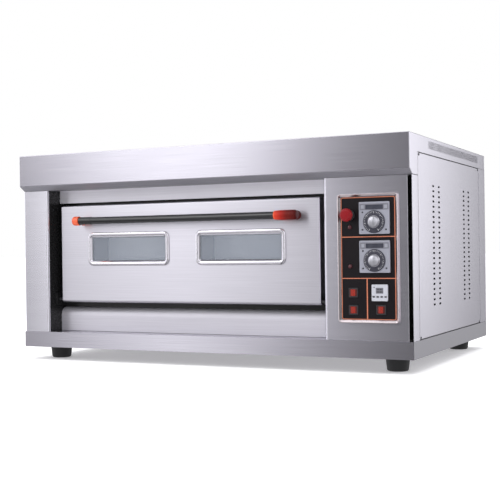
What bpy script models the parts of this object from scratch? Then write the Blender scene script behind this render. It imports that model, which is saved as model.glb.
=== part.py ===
"""A one-deck electric bakery oven, as the separate pieces it comes apart into.

Metres, +Z up. The oven faces -Y, and +X is on the right of someone facing it.
The origin is on the floor, midway between its frontmost and rearmost points.
"""
import math

import bmesh
import bpy
from mathutils import Matrix, Vector

# ---------------------------------------------------------------- driving sizes
WIDTH = 1.340
DEPTH = 0.884                # canopy front to rear panel
BODY_HEIGHT = 0.632          # underside of the base to the top of the canopy
FOOT_HEIGHT = 0.042
SHEET = 0.0015
GAP = 0.0004                 # left between pieces that touch

HALF = WIDTH / 2
FRONT = -DEPTH / 2
REAR = DEPTH / 2
STICK_OUT = 0.020            # how far the emergency stop and the rear fittings reach out


def behind(distance):
    """The Y of a point this far behind the canopy's front face."""
    return FRONT + distance


def above(height):
    """The Z of a point this far above the underside of the base."""
    return FOOT_HEIGHT + height


# casing, from front to back
SIDE_EDGE = behind(0.0213)
BASE_FRONT = behind(0.020)
POST_FACE = behind(0.024)
FRONT_SEAM = behind(0.075)
REAR_SEAM = behind(0.798)
LINTEL_FACE = behind(0.090)
SILL_FACE = behind(0.091)
FRAME_FACE = behind(0.115)   # lintel and sill where the door covers them
JAMB_FACE = behind(0.117)
LEDGE_BACK = behind(0.1188)  # rear edge of the ledge along the base's front
# casing, from the base up
BASE_TOP = above(0.050)
POST_BOTTOM = BASE_TOP + GAP
POST_TOP = above(0.5149)
CANOPY_LIP = above(0.5153)
CANOPY_FACE_BOTTOM = above(0.5304)
SKIRT_BOTTOM = above(0.5825)
TOP = above(BODY_HEIGHT)
LINTEL_BOTTOM = above(0.4745)
MOUTH_BOTTOM = above(0.186)
MOUTH_TOP = above(0.425)
SILL_ROUND = 0.030
SILL_TOP = above(0.129)
# casing, from left to right
POST_INNER = -0.574
FASCIA_LEFT = 0.4036
FASCIA_RIGHT = 0.6558
MOUTH_LEFT = -0.5185
MOUTH_RIGHT = 0.3528
EDGE_ROUND = 0.009

# vents
SLOT = (0.0050, 0.024)       # width and height of a canopy slot
SLOT_PITCH = 0.0125
SLOT_COUNT = 48
SLOT_FIRST = behind(0.192)
SLOT_HEIGHT = above(0.610)
VENT = (0.020, 0.0060)       # length and height of a cover vent
VENT_COLUMNS = (behind(0.2305), behind(0.291), behind(0.587), behind(0.649))
VENT_ROWS = 24
VENT_FIRST = above(0.1435)
VENT_PITCH = 0.01517

# baking chamber
CHAMBER_LOW = Vector((-0.5177, behind(0.119), above(0.190)))
CHAMBER_HIGH = Vector((0.3523, behind(0.777), above(0.420)))
WOOL = 0.036
HEARTH_TOP = above(0.228)
PARTITION_X = 0.400
ELEMENT_RADIUS = 0.004
ELEMENT_RUNS = 6
ELEMENT_FIRST = behind(0.190)
ELEMENT_PITCH = 0.100
ELEMENT_END = 0.425
UPPER_ELEMENT = above(0.400)
LOWER_ELEMENT = above(0.206)
PROBE_Y = behind(0.442)
UPPER_PROBE = above(0.383)
LOWER_PROBE = above(0.2185)
PROBE_RADIUS = 0.0025
PROBE_LENGTH = 0.165
PROBE_TIP = 0.255            # how far right the probes' tips are
LAMP = (behind(0.240), above(0.330))
LAMP_RADIUS = 0.020
LAMP_TIP = 0.332             # how far right the lamp's round end is
EXHAUST_RADIUS = 0.025
EXHAUST_X = -0.0827
EXHAUST_HEIGHT = above(0.375)
GLAND = (0.560, above(0.095))
GLAND_HOLE = 0.0125
CONTACTOR = (behind(0.580), above(0.225))

# door
DOOR_CENTRE = -0.0860
DOOR_WIDTH = 0.927
DOOR_FACE = behind(0.0616)
DOOR_RIM = behind(0.108)
DOOR_BACK = behind(0.112)
PLUG_BACK = behind(0.155)
DOOR_BOTTOM = above(0.1450)
INNER_BOTTOM = above(0.1494)
DOOR_TOP = above(0.464)
DOOR_SHEET = 0.0012
HINGE = (behind(0.074), above(0.156))
HINGE_RADIUS = 0.005
HINGE_EAR = 0.0085           # thickness of a hinge bracket
HINGE_EAR_LOW = (behind(0.058), above(0.138))
HINGE_EAR_HIGH = (behind(0.113), above(0.176))
WINDOW_OFFSET = 0.2008       # window centres to the door's centre
WINDOW = (0.307, 0.109)
WINDOW_BAND = 0.016
WINDOW_MIDDLE = above(0.3205)
WINDOW_CORNER = 0.020
PANE = 0.004
HANDLE = (behind(0.0275), above(0.4127))
HANDLE_RADIUS = 0.0115
BRACKET_RADIUS = 0.015
HANDLE_MIDDLE = -0.0772
BRACKET_END = 0.3965         # from the handle's middle
BRACKET_INNER = 0.3252

# control panel
PLATE_FACE = behind(0.0215)
PLATE_BACK = behind(0.0236)
BEZEL_FACE = behind(0.0150)
BEZEL = (0.449, 0.629, above(0.1004), above(0.466))
BEZEL_BAND = 0.0085
BEZEL_CORNER = 0.004         # inside the bezel
CONTROLLER = (0.0904, 0.091)
CONTROLLER_FACE = behind(0.0155)
CONTROLLER_BACK = behind(0.085)
CONTROLLER_BODY = 0.084      # width and height behind the plate
CONTROLLERS = {"upper": (0.5597, above(0.397)), "lower": (0.5597, above(0.2879))}
DIAL_DROP = 0.011            # dial centre below its controller's centre
ESTOP = (0.4855, above(0.406))
INDICATORS = {"upper": (0.4855, above(0.3723)), "lower": (0.4855, above(0.2605))}
TIMER = (0.573, above(0.1862))
TIMER_SIZE = (0.048, 0.047)
TIMER_FACE = behind(0.0165)
TIMER_BACK = behind(0.075)
TIMER_BODY = 0.042
KEY = (0.0062, 0.0036)
KEY_PITCH = 0.0116
KEY_COUNT = 4
KEY_DROP = 0.0113
SWITCHES = {
    "upper_heat": (0.4938, above(0.1862)),
    "lower_heat": (0.4938, above(0.1372)),
    "lamp": (0.5758, above(0.1381)),
}
SWITCH_FLANGE = (0.028, 0.027)
SWITCH_BODY = (0.024, 0.023)
SWITCH_MOUTH = (0.0224, 0.0210)
SWITCH_FACE = behind(0.0187)
SWITCH_BACK = behind(0.040)
ROCKER_AXIS = behind(0.0205)
ROCKER_REST = math.radians(10)

FOOT_RADIUS = 0.036
FEET = {
    "front_left": (-0.592, behind(0.115)),
    "front_right": (0.592, behind(0.115)),
    "rear_left": (-0.592, behind(0.800)),
    "rear_right": (0.592, behind(0.800)),
}

# ---------------------------------------------------------------- materials
# name: colour, roughness, metallic
FINISHES = {
    "brushed_steel": ((0.62, 0.61, 0.66), 0.32, 1.0),
    "bright_steel": ((0.80, 0.80, 0.84), 0.15, 1.0),
    "plain_steel": ((0.45, 0.45, 0.46), 0.45, 1.0),
    "hot_steel": ((0.22, 0.20, 0.19), 0.55, 0.9),
    "hearth": ((0.10, 0.10, 0.11), 0.70, 0.2),
    "mineral_wool": ((0.62, 0.56, 0.40), 0.95, 0.0),
    "black_rubber": ((0.015, 0.015, 0.016), 0.60, 0.0),
    "black_enamel": ((0.012, 0.012, 0.013), 0.22, 0.0),
    "black_plate": ((0.010, 0.012, 0.014), 0.30, 0.0),
    "orange_plastic": ((0.75, 0.09, 0.02), 0.25, 0.0),
    "silver_plastic": ((0.58, 0.58, 0.62), 0.38, 0.3),
    "grey_dial": ((0.30, 0.30, 0.34), 0.35, 0.4),
    "dark_plastic": ((0.03, 0.03, 0.035), 0.45, 0.0),
    "red_plastic": ((0.60, 0.02, 0.03), 0.28, 0.0),
    "lit_red": ((0.70, 0.06, 0.03), 0.25, 0.0),
    "window_glass": ((0.55, 0.60, 0.66), 0.05, 0.0),
}


def finish_material(name):
    """The named finish as a Principled material, made once."""
    if name in bpy.data.materials:
        return bpy.data.materials[name]
    colour, roughness, metallic = FINISHES[name]
    material = bpy.data.materials.new(name)
    material.use_nodes = True
    shader = material.node_tree.nodes["Principled BSDF"]
    shader.inputs["Base Color"].default_value = (*colour, 1.0)
    shader.inputs["Roughness"].default_value = roughness
    shader.inputs["Metallic"].default_value = metallic
    return material


# ---------------------------------------------------------------- modelling helpers
AXES = {"X": Vector((1, 0, 0)), "Y": Vector((0, 1, 0)), "Z": Vector((0, 0, 1))}
FACING_FRONT = (math.radians(90), 0, 0)      # turns local +Z to -Y
FACING_REAR = (math.radians(-90), 0, 0)      # turns local +Z to +Y


def new_mesh(name, bm, closed=True):
    """Turn a bmesh into a mesh, with the faces of a closed body pointing out."""
    if closed:
        bmesh.ops.recalc_face_normals(bm, faces=bm.faces)
    mesh = bpy.data.meshes.new(name)
    bm.to_mesh(mesh)
    bm.free()
    return mesh


def add_piece(name, mesh, finish, location=(0, 0, 0), rotation=(0, 0, 0)):
    """Add a mesh to the oven as a named piece."""
    piece = bpy.data.objects.new(name, mesh)
    piece.location = location
    piece.rotation_euler = rotation
    mesh.materials.append(finish_material(finish))
    bpy.data.collections["deck_oven"].objects.link(piece)
    return piece


def add_cutter(mesh, location=(0, 0, 0), rotation=(0, 0, 0)):
    """Add a mesh that only shapes other pieces."""
    guide = bpy.data.objects.new("shape_" + mesh.name, mesh)
    guide.location = location
    guide.rotation_euler = rotation
    guide.hide_render = True
    guide.display_type = "WIRE"
    bpy.data.collections["cutters"].objects.link(guide)
    return guide


def combine(piece, guide, operation):
    """Cut a guide's shape out of a piece, or join it on."""
    boolean = piece.modifiers.new(operation.lower(), "BOOLEAN")
    boolean.operation = operation
    boolean.solver = "EXACT"
    boolean.object = guide


def thicken(piece, thickness, side=-1):
    """Give an open surface its sheet thickness: -1 grows it inward, 1 outward."""
    solidify = piece.modifiers.new("thickness", "SOLIDIFY")
    solidify.thickness = thickness
    solidify.offset = side
    solidify.use_even_offset = True


def soften(piece, width, segments=2):
    """Round a piece's sharp edges."""
    bevel = piece.modifiers.new("soft_edges", "BEVEL")
    bevel.width = width
    bevel.segments = segments
    bevel.limit_method = "ANGLE"


def cube_bmesh(low, high):
    """A box between two corners."""
    bm = bmesh.new()
    bmesh.ops.create_cube(bm, size=1.0)
    low, high = Vector(low), Vector(high)
    bmesh.ops.scale(bm, vec=high - low, verts=bm.verts)
    bmesh.ops.translate(bm, vec=(low + high) / 2, verts=bm.verts)
    return bm


def block(name, low, high, finish, round_edges=0.0):
    """A solid box, placed by its middle."""
    middle = (Vector(low) + Vector(high)) / 2
    bm = cube_bmesh(Vector(low) - middle, Vector(high) - middle)
    piece = add_piece(name, new_mesh(name, bm), finish, middle)
    if round_edges:
        soften(piece, round_edges)
    return piece


def pan(name, low, high, open_side, finish, thickness=SHEET, grow=-1, edge=0.0):
    """A folded sheet box that is open on one side, such as '+Z'."""
    bm = cube_bmesh(low, high)
    outward = AXES[open_side[1]] * (1 if open_side[0] == "+" else -1)
    bm.normal_update()
    lids = [face for face in bm.faces if face.normal.dot(outward) > 0.5]
    bmesh.ops.delete(bm, geom=lids, context="FACES_ONLY")
    piece = add_piece(name, new_mesh(name, bm, closed=False), finish)
    if edge:
        soften(piece, edge)
    thicken(piece, thickness, grow)
    return piece


def section_point(axis, station, across, up):
    """A point of a section drawn square to an axis, at a station along it."""
    if axis == "X":
        return Vector((station, across, up))
    return Vector((across, up, station))


def folded(name, axis, fold_line, span, finish):
    """A sheet folded along a line and running along an axis ('X' or 'Z').

    Its outer face is on the right of the line, and its thickness grows to the left.
    """
    bm = bmesh.new()
    points = [bm.verts.new(section_point(axis, span[0], *point)) for point in fold_line]
    edges = [bm.edges.new(pair) for pair in zip(points, points[1:])]
    swept = bmesh.ops.extrude_edge_only(bm, edges=edges)["geom"]
    moved = [item for item in swept if isinstance(item, bmesh.types.BMVert)]
    bmesh.ops.translate(bm, vec=AXES[axis] * (span[1] - span[0]), verts=moved)
    first, second = fold_line[0], fold_line[1]
    outward = section_point(axis, 0, second[1] - first[1], first[0] - second[0])
    bmesh.ops.recalc_face_normals(bm, faces=bm.faces)
    first_fold = max(bm.faces, key=lambda face: points[0] in face.verts)
    first_fold.normal_update()
    if first_fold.normal.dot(outward) < 0:
        bmesh.ops.reverse_faces(bm, faces=bm.faces)
    piece = add_piece(name, new_mesh(name, bm, closed=False), finish)
    thicken(piece, SHEET)
    return piece


def arc(centre, radius, start, end, steps):
    """Points on an arc, by angles in degrees."""
    angles = [math.radians(start + (end - start) * i / steps) for i in range(steps + 1)]
    return [(centre[0] + radius * math.cos(a), centre[1] + radius * math.sin(a)) for a in angles]


def rounded_slab(name, size, corner, near, far):
    """A slab with round corners, size across X and Z, between two depths."""
    bm = cube_bmesh((-size[0] / 2, near, -size[1] / 2), (size[0] / 2, far, size[1] / 2))
    along = [edge for edge in bm.edges if abs((edge.verts[0].co - edge.verts[1].co).y) > 1e-6]
    bmesh.ops.bevel(bm, geom=along, offset=corner, segments=4, profile=0.5, affect="EDGES")
    return new_mesh(name, bm)


def stepped(name, place, sections, finish):
    """A block whose width and height change with depth: (y, width, height), back to front."""
    bm = bmesh.new()
    start = sections[0][0]
    loops = []
    for depth, width, height in sections:
        corners = [(-width, -height), (width, -height), (width, height), (-width, height)]
        loops.append([bm.verts.new((x / 2, depth - start, z / 2)) for x, z in corners])
    for near, far in zip(loops, loops[1:]):
        for i in range(4):
            bm.faces.new((near[i - 1], near[i], far[i], far[i - 1]))
    bm.faces.new(loops[0])
    bm.faces.new(loops[-1])
    return add_piece(name, new_mesh(name, bm), finish, (place[0], start, place[1]))


def rod_mesh(name, radius, length, sides=24):
    """A closed cylinder standing on its local origin."""
    bm = bmesh.new()
    bmesh.ops.create_cone(bm, cap_ends=True, segments=sides, radius1=radius, radius2=radius, depth=length)
    bmesh.ops.translate(bm, vec=(0, 0, length / 2), verts=bm.verts)
    mesh = new_mesh(name, bm)
    mesh.shade_smooth()
    mesh.set_sharp_from_angle(angle=math.radians(40))
    return mesh


def turned_mesh(name, profile, closed):
    """The outline of a turned piece: (radius, height) down its outer side."""
    bm = bmesh.new()
    points = [bm.verts.new((radius, 0, height)) for radius, height in profile]
    for pair in zip(points, points[1:]):
        bm.edges.new(pair)
    if closed:
        bm.edges.new((points[-1], points[0]))
    mesh = bpy.data.meshes.new(name)
    bm.to_mesh(mesh)
    bm.free()
    return mesh


def spin(piece, steps):
    """Turn a piece's outline once round its local Z axis."""
    screw = piece.modifiers.new("turn", "SCREW")
    screw.steps = steps
    screw.render_steps = steps
    screw.use_merge_vertices = True
    screw.merge_threshold = 0.00001
    screw.use_smooth_shade = True
    return piece


def turned(name, profile, finish, location, rotation=(0, 0, 0), steps=24, closed=False):
    """A turned piece; closed is for a ring, whose outline never meets the axis."""
    mesh = turned_mesh(name, profile, closed)
    return spin(add_piece(name, mesh, finish, location, rotation), steps)


def hang_on(pivot, pieces):
    """Parent pieces to an empty without moving them."""
    for piece in pieces:
        piece.parent = pivot
        piece.matrix_parent_inverse = Matrix.Translation(pivot.location).inverted()


def add_pivot(name, location):
    """An empty on a joint's axis."""
    pivot = bpy.data.objects.new(name, None)
    pivot.location = location
    pivot.empty_display_size = 0.05
    bpy.data.collections["deck_oven"].objects.link(pivot)
    return pivot


# ---------------------------------------------------------------- casing
def make_base():
    """The bottom tray, with a ledge along its front, and its feet."""
    base = pan("base_pan", (-HALF, BASE_FRONT, FOOT_HEIGHT), (HALF, REAR, BASE_TOP), "+Z", "brushed_steel")
    overlap = SHEET / 2
    ledge = cube_bmesh((overlap - HALF, BASE_FRONT + overlap, BASE_TOP - SHEET),
                       (HALF - overlap, LEDGE_BACK, BASE_TOP - GAP / 2))
    combine(base, add_cutter(new_mesh("base_ledge", ledge)), "UNION")
    top, bottom, chamfer = FOOT_RADIUS, FOOT_RADIUS - 0.005, 0.003
    height = FOOT_HEIGHT - GAP
    profile = [(0, height), (top - chamfer, height), (top, height - chamfer),
               (bottom, chamfer), (bottom - chamfer, 0), (0, 0)]
    for place, (x, y) in FEET.items():
        turned(place + "_foot", profile, "black_rubber", (x, y, 0), steps=20)


def canopy_bmesh():
    """The hood's outer surface, open below behind its front band."""
    outline = [(FRONT, TOP), (FRONT, CANOPY_FACE_BOTTOM), (POST_FACE, CANOPY_LIP),
               (FRONT_SEAM, CANOPY_LIP), (FRONT_SEAM, SKIRT_BOTTOM), (REAR, SKIRT_BOTTOM), (REAR, TOP)]
    bm = bmesh.new()
    side = bm.faces.new([bm.verts.new((-HALF, y, z)) for y, z in outline])
    swept = bmesh.ops.extrude_face_region(bm, geom=[side], use_keep_orig=True)["geom"]
    moved = [item for item in swept if isinstance(item, bmesh.types.BMVert)]
    bmesh.ops.translate(bm, vec=(WIDTH, 0, 0), verts=moved)
    bmesh.ops.recalc_face_normals(bm, faces=bm.faces)
    bm.normal_update()
    open_faces = []
    for face in bm.faces:
        middle = face.calc_center_median()
        below = face.normal.z < -0.9 and middle.z > SKIRT_BOTTOM - GAP
        step = face.normal.y > 0.9 and middle.y < REAR - GAP
        if below or step:
            open_faces.append(face)
    bmesh.ops.delete(bm, geom=open_faces, context="FACES_ONLY")
    return bm


def make_canopy():
    """The hood, with a row of vent slots cut through both sides."""
    canopy = add_piece("canopy", new_mesh("canopy", canopy_bmesh(), closed=False), "brushed_steel")
    thicken(canopy, SHEET)
    bm = bmesh.new()
    width, height = SLOT
    for i in range(SLOT_COUNT):
        slot = bmesh.ops.create_cube(bm, size=1.0)["verts"]
        bmesh.ops.scale(bm, vec=(WIDTH + 0.02, width, height), verts=slot)
        bmesh.ops.translate(bm, vec=(0, SLOT_FIRST + i * SLOT_PITCH, SLOT_HEIGHT), verts=slot)
    combine(canopy, add_cutter(new_mesh("canopy_slots", bm)), "DIFFERENCE")


def make_posts():
    """The front posts: the left one folds round into the door jamb."""
    left = [(-HALF, FRONT_SEAM)]
    left += arc((-HALF + 0.003, POST_FACE + 0.003), 0.003, 180, 270, 2)
    left += arc((POST_INNER - EDGE_ROUND, POST_FACE + EDGE_ROUND), EDGE_ROUND, -90, 0, 4)
    left += [(POST_INNER, JAMB_FACE), (MOUTH_LEFT, JAMB_FACE)]
    folded("left_front_post", "Z", left, (POST_BOTTOM, POST_TOP), "brushed_steel")
    right = [(HALF, SIDE_EDGE), (HALF, FRONT_SEAM), (FASCIA_RIGHT - 0.030, FRONT_SEAM)]
    folded("right_front_post", "Z", right, (POST_BOTTOM, POST_TOP), "brushed_steel")


def make_door_surround():
    """The lintel above the door and the round-topped sill below it."""
    span = (POST_INNER + 2 * GAP, FASCIA_LEFT - 2 * GAP)
    lintel = [(FRONT_SEAM + 2 * GAP, POST_TOP), (LINTEL_FACE, POST_TOP), (LINTEL_FACE, LINTEL_BOTTOM),
              (FRAME_FACE, LINTEL_BOTTOM), (FRAME_FACE, MOUTH_TOP)]
    folded("lintel", "X", lintel, span, "brushed_steel")
    centre = (SILL_FACE + SILL_ROUND, SILL_TOP - SILL_ROUND)
    start = math.degrees(math.acos((FRAME_FACE - centre[0]) / SILL_ROUND))
    sill = [(FRAME_FACE, MOUTH_BOTTOM)] + arc(centre, SILL_ROUND, start, 180, 8)
    sill.append((SILL_FACE, POST_BOTTOM))
    folded("sill", "X", sill, span, "brushed_steel")


def make_covers():
    """The side covers, with vents on the electrical side, and the rear panel."""
    low_z, high_z = POST_BOTTOM, SKIRT_BOTTOM - GAP
    front, rear = FRONT_SEAM + 2 * GAP, REAR_SEAM - 2 * GAP
    lip = 0.012
    pan("left_side_cover", (-HALF, front, low_z), (-HALF + lip, rear, high_z), "+X", "brushed_steel")
    cover = pan("right_side_cover", (HALF - lip, front, low_z), (HALF, rear, high_z), "-X", "brushed_steel")
    bm = bmesh.new()
    length, height = VENT
    for y in VENT_COLUMNS:
        for row in range(VENT_ROWS):
            hole = bmesh.ops.create_cube(bm, size=1.0)["verts"]
            bmesh.ops.scale(bm, vec=(2 * lip, length, height), verts=hole)
            bmesh.ops.translate(bm, vec=(HALF + lip / 2, y, VENT_FIRST + row * VENT_PITCH), verts=hole)
    combine(cover, add_cutter(new_mesh("cover_vents", bm)), "DIFFERENCE")
    make_rear_panel()


def make_rear_panel():
    """The back, folded round into both side strips, with holes for its fittings."""
    line = [(HALF, REAR_SEAM), (HALF, REAR), (-HALF, REAR), (-HALF, REAR_SEAM)]
    panel = folded("rear_panel", "Z", line, (POST_BOTTOM, SKIRT_BOTTOM - GAP), "brushed_steel")
    exhaust = rod_mesh("rear_exhaust_hole", EXHAUST_RADIUS + 0.002, 0.04)
    place = (EXHAUST_X, REAR - 0.02, EXHAUST_HEIGHT)
    combine(panel, add_cutter(exhaust, place, FACING_REAR), "DIFFERENCE")
    gland = rod_mesh("rear_gland_hole", GLAND_HOLE, 0.04)
    combine(panel, add_cutter(gland, (GLAND[0], REAR - 0.02, GLAND[1]), FACING_REAR), "DIFFERENCE")


# ---------------------------------------------------------------- inside
def wall_passages():
    """The cutter for every hole through the chamber's right wall."""
    last_run = ELEMENT_FIRST + (ELEMENT_RUNS - 1) * ELEMENT_PITCH
    holes = [(y, z, 0.0052) for y in (ELEMENT_FIRST, last_run) for z in (LOWER_ELEMENT, UPPER_ELEMENT)]
    holes += [(PROBE_Y, LOWER_PROBE, 0.0035), (PROBE_Y, UPPER_PROBE, 0.0035), (*LAMP, LAMP_RADIUS + 0.0025)]
    bm = bmesh.new()
    turn = Matrix.Rotation(math.pi / 2, 3, "Y")
    for y, z, radius in holes:
        hole = bmesh.ops.create_cone(bm, cap_ends=True, segments=8 if radius < 0.01 else 16,
                                     radius1=radius, radius2=radius, depth=0.1)["verts"]
        bmesh.ops.rotate(bm, cent=(0, 0, 0), matrix=turn, verts=hole)
        bmesh.ops.translate(bm, vec=(CHAMBER_HIGH.x + 0.04, y, z), verts=hole)
    return add_cutter(new_mesh("wall_passages", bm))


def make_chamber():
    """The chamber's liner, its wool and the wall to the electrical side."""
    passages = wall_passages()
    exhaust = add_cutter(rod_mesh("chamber_exhaust_hole", EXHAUST_RADIUS + 0.001, 0.08),
                         (EXHAUST_X, CHAMBER_HIGH.y - 0.02, EXHAUST_HEIGHT), FACING_REAR)
    liner = pan("cavity_liner", CHAMBER_LOW, CHAMBER_HIGH, "-Y", "plain_steel", grow=1)
    room = Vector((SHEET + GAP, 0, SHEET + GAP))
    low = CHAMBER_LOW - room + Vector((0, 0.002, 0))
    high = CHAMBER_HIGH + room + Vector((0, SHEET + GAP, 0))
    wool = pan("insulation_jacket", low, high, "-Y", "mineral_wool", WOOL, grow=1)
    partition = block("partition_wall", (PARTITION_X, behind(0.1195), above(0.002)),
                      (PARTITION_X + SHEET, REAR - 0.004, above(0.600)), "plain_steel")
    for piece in (liner, wool, partition):
        combine(piece, passages, "DIFFERENCE")
    for piece in (liner, wool):
        combine(piece, exhaust, "DIFFERENCE")


def make_hearth():
    """The plate the bread stands on, folded down at its front and back."""
    margin = 0.0027
    front, back = CHAMBER_LOW.y + 0.005, CHAMBER_HIGH.y - 0.004
    foot = CHAMBER_LOW.z + GAP
    line = [(back, foot), (back, HEARTH_TOP), (front, HEARTH_TOP), (front, foot)]
    folded("deck_plate", "X", line, (CHAMBER_LOW.x + margin, CHAMBER_HIGH.x - margin), "hearth")


def element_route(height):
    """The middle line of a serpentine element, both ends out on the right."""
    radius = ELEMENT_PITCH / 2
    left, right = CHAMBER_LOW.x + 0.03 + radius, CHAMBER_HIGH.x - 0.03 - radius
    route = [(ELEMENT_END, ELEMENT_FIRST)]
    for run in range(ELEMENT_RUNS - 1):
        middle = ELEMENT_FIRST + (run + 0.5) * ELEMENT_PITCH
        if run % 2 == 0:
            route += arc((left, middle), radius, 270, 90, 6)
        else:
            route += arc((right, middle), radius, -90, 90, 6)
    route.append((ELEMENT_END, ELEMENT_FIRST + (ELEMENT_RUNS - 1) * ELEMENT_PITCH))
    return [(x, y, height) for x, y in route]


def tube(name, points, radius, finish):
    """A bent rod along a line of points."""
    curve = bpy.data.curves.new(name, "CURVE")
    curve.dimensions = "3D"
    curve.bevel_depth = radius
    curve.bevel_resolution = 2
    curve.use_fill_caps = True
    spline = curve.splines.new("POLY")
    spline.points.add(len(points) - 1)
    for knot, point in zip(spline.points, points):
        knot.co = (*point, 1.0)
    curve.materials.append(finish_material(finish))
    piece = bpy.data.objects.new(name, curve)
    bpy.data.collections["deck_oven"].objects.link(piece)
    return piece


def make_chamber_fittings():
    """Elements, probes, lamp, exhaust pipe, contactor and cable gland."""
    tube("upper_heating_element", element_route(UPPER_ELEMENT), ELEMENT_RADIUS, "hot_steel")
    tube("lower_heating_element", element_route(LOWER_ELEMENT), ELEMENT_RADIUS, "hot_steel")
    along_x = (0, math.radians(90), 0)
    for name, height in (("upper_probe", UPPER_PROBE), ("lower_probe", LOWER_PROBE)):
        mesh = rod_mesh(name, PROBE_RADIUS, PROBE_LENGTH, sides=10)
        add_piece(name, mesh, "bright_steel", (PROBE_TIP, PROBE_Y, height), along_x)
    lamp = [(0, 0.085), (0.012, 0.085), (LAMP_RADIUS, 0.080), (LAMP_RADIUS, 0.014), (0.017, 0.005),
            (0.009, 0), (0, 0)]
    turned("oven_lamp", lamp, "window_glass", (LAMP_TIP, *LAMP), along_x, steps=16)
    length = REAR + STICK_OUT - (CHAMBER_HIGH.y - 0.005)
    inner = EXHAUST_RADIUS - SHEET
    pipe = [(EXHAUST_RADIUS, length), (EXHAUST_RADIUS, 0), (inner, 0), (inner, length)]
    mouth = (EXHAUST_X, REAR + STICK_OUT, EXHAUST_HEIGHT)
    turned("exhaust_pipe", pipe, "bright_steel", mouth, FACING_FRONT, closed=True)
    gland = [(0.0085, STICK_OUT), (0.0125, STICK_OUT), (0.015, 0.014), (0.016, 0.012), (0.016, GAP),
             (0.0115, GAP), (0.0115, -0.014), (0.0055, -0.014), (0.0055, STICK_OUT - 0.003)]
    place = (GLAND[0], REAR, GLAND[1])
    turned("cable_gland", gland, "dark_plastic", place, FACING_REAR, steps=16, closed=True)
    make_contactor()


def make_contactor():
    """The contactor, standing on the partition with its face to the right."""
    sections = [(0, 0.080, 0.086), (-0.050, 0.080, 0.086), (-0.050, 0.056, 0.050), (-0.070, 0.052, 0.046)]
    piece = stepped("contactor", (0, 0), sections, "dark_plastic")
    piece.rotation_euler = (0, 0, math.radians(90))
    piece.location = (PARTITION_X + SHEET + GAP, *CONTACTOR)


# ---------------------------------------------------------------- door
def window_centres():
    """The X of both windows, left one first."""
    return {"left": DOOR_CENTRE - WINDOW_OFFSET, "right": DOOR_CENTRE + WINDOW_OFFSET}


def make_door_skins():
    """The outer skin and the inner one with its plug and sight tunnels."""
    low = (DOOR_CENTRE - DOOR_WIDTH / 2, DOOR_FACE, DOOR_BOTTOM)
    high = (DOOR_CENTRE + DOOR_WIDTH / 2, DOOR_RIM, DOOR_TOP)
    outer = pan("door_outer_panel", low, high, "+Y", "brushed_steel", DOOR_SHEET, edge=0.003)
    opening = (WINDOW[0] - 2 * WINDOW_BAND + 0.004, WINDOW[1] - 2 * WINDOW_BAND + 0.004)
    for side, x in window_centres().items():
        hole = rounded_slab(side + "_window_cut", opening, 0.010, -0.01, 0.01)
        combine(outer, add_cutter(hole, (x, DOOR_FACE, WINDOW_MIDDLE)), "DIFFERENCE")
    bore = rod_mesh("door_hinge_bore", HINGE_RADIUS + 0.0005, DOOR_WIDTH + 0.02)
    start = (low[0] - 0.01, HINGE[0], HINGE[1])
    combine(outer, add_cutter(bore, start, (0, math.radians(90), 0)), "DIFFERENCE")
    return [outer, make_inner_skin()]


def make_inner_skin():
    """A tray whose middle stands into the chamber mouth, with two tunnels to the front."""
    inset = DOOR_SHEET + 0.0012
    left, right = DOOR_CENTRE - DOOR_WIDTH / 2 + inset, DOOR_CENTRE + DOOR_WIDTH / 2 - inset
    half_w, half_h = WINDOW[0] / 2 - WINDOW_BAND, WINDOW[1] / 2 - WINDOW_BAND
    plug = WINDOW_OFFSET + half_w + 0.030
    xs = [left, DOOR_CENTRE - plug]
    for x in window_centres().values():
        xs += [x - half_w, x + half_w]
    xs += [DOOR_CENTRE + plug, right]
    zs = [INNER_BOTTOM, WINDOW_MIDDLE - half_h - 0.030, WINDOW_MIDDLE - half_h,
          WINDOW_MIDDLE + half_h, WINDOW_MIDDLE + half_h + 0.030, DOOR_TOP - inset]
    bm = bmesh.new()
    bmesh.ops.create_grid(bm, x_segments=len(xs) - 1, y_segments=len(zs) - 1, size=0.5)
    for vert in bm.verts:
        column = round((vert.co.x + 0.5) * (len(xs) - 1))
        row = round((vert.co.y + 0.5) * (len(zs) - 1))
        vert.co = (xs[column], DOOR_BACK, zs[row])
    push_region(bm, PLUG_BACK - DOOR_BACK, xs[1], xs[6], zs[1], zs[4])
    for first in (2, 4):
        ends = push_region(bm, behind(0.068) - PLUG_BACK, xs[first], xs[first + 1], zs[2], zs[3])
        bmesh.ops.delete(bm, geom=ends, context="FACES_ONLY")
    rim = [edge for edge in bm.edges if edge.is_boundary and on_outline(edge, xs, zs)]
    swept = bmesh.ops.extrude_edge_only(bm, edges=rim)["geom"]
    moved = [item for item in swept if isinstance(item, bmesh.types.BMVert)]
    bmesh.ops.translate(bm, vec=(0, -0.012, 0), verts=moved)
    bmesh.ops.recalc_face_normals(bm, faces=bm.faces)
    piece = add_piece("door_inner_panel", new_mesh("door_inner_panel", bm, closed=False), "plain_steel")
    thicken(piece, DOOR_SHEET, 1 if faces_forward(piece.data) else -1)
    return piece


def on_outline(edge, xs, zs):
    """Whether an edge lies on the tray's outline."""
    middle = (edge.verts[0].co + edge.verts[1].co) / 2
    beside = min(abs(middle.x - xs[0]), abs(middle.x - xs[-1]))
    over = min(abs(middle.z - zs[0]), abs(middle.z - zs[-1]))
    return min(beside, over) < 1e-6


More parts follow.
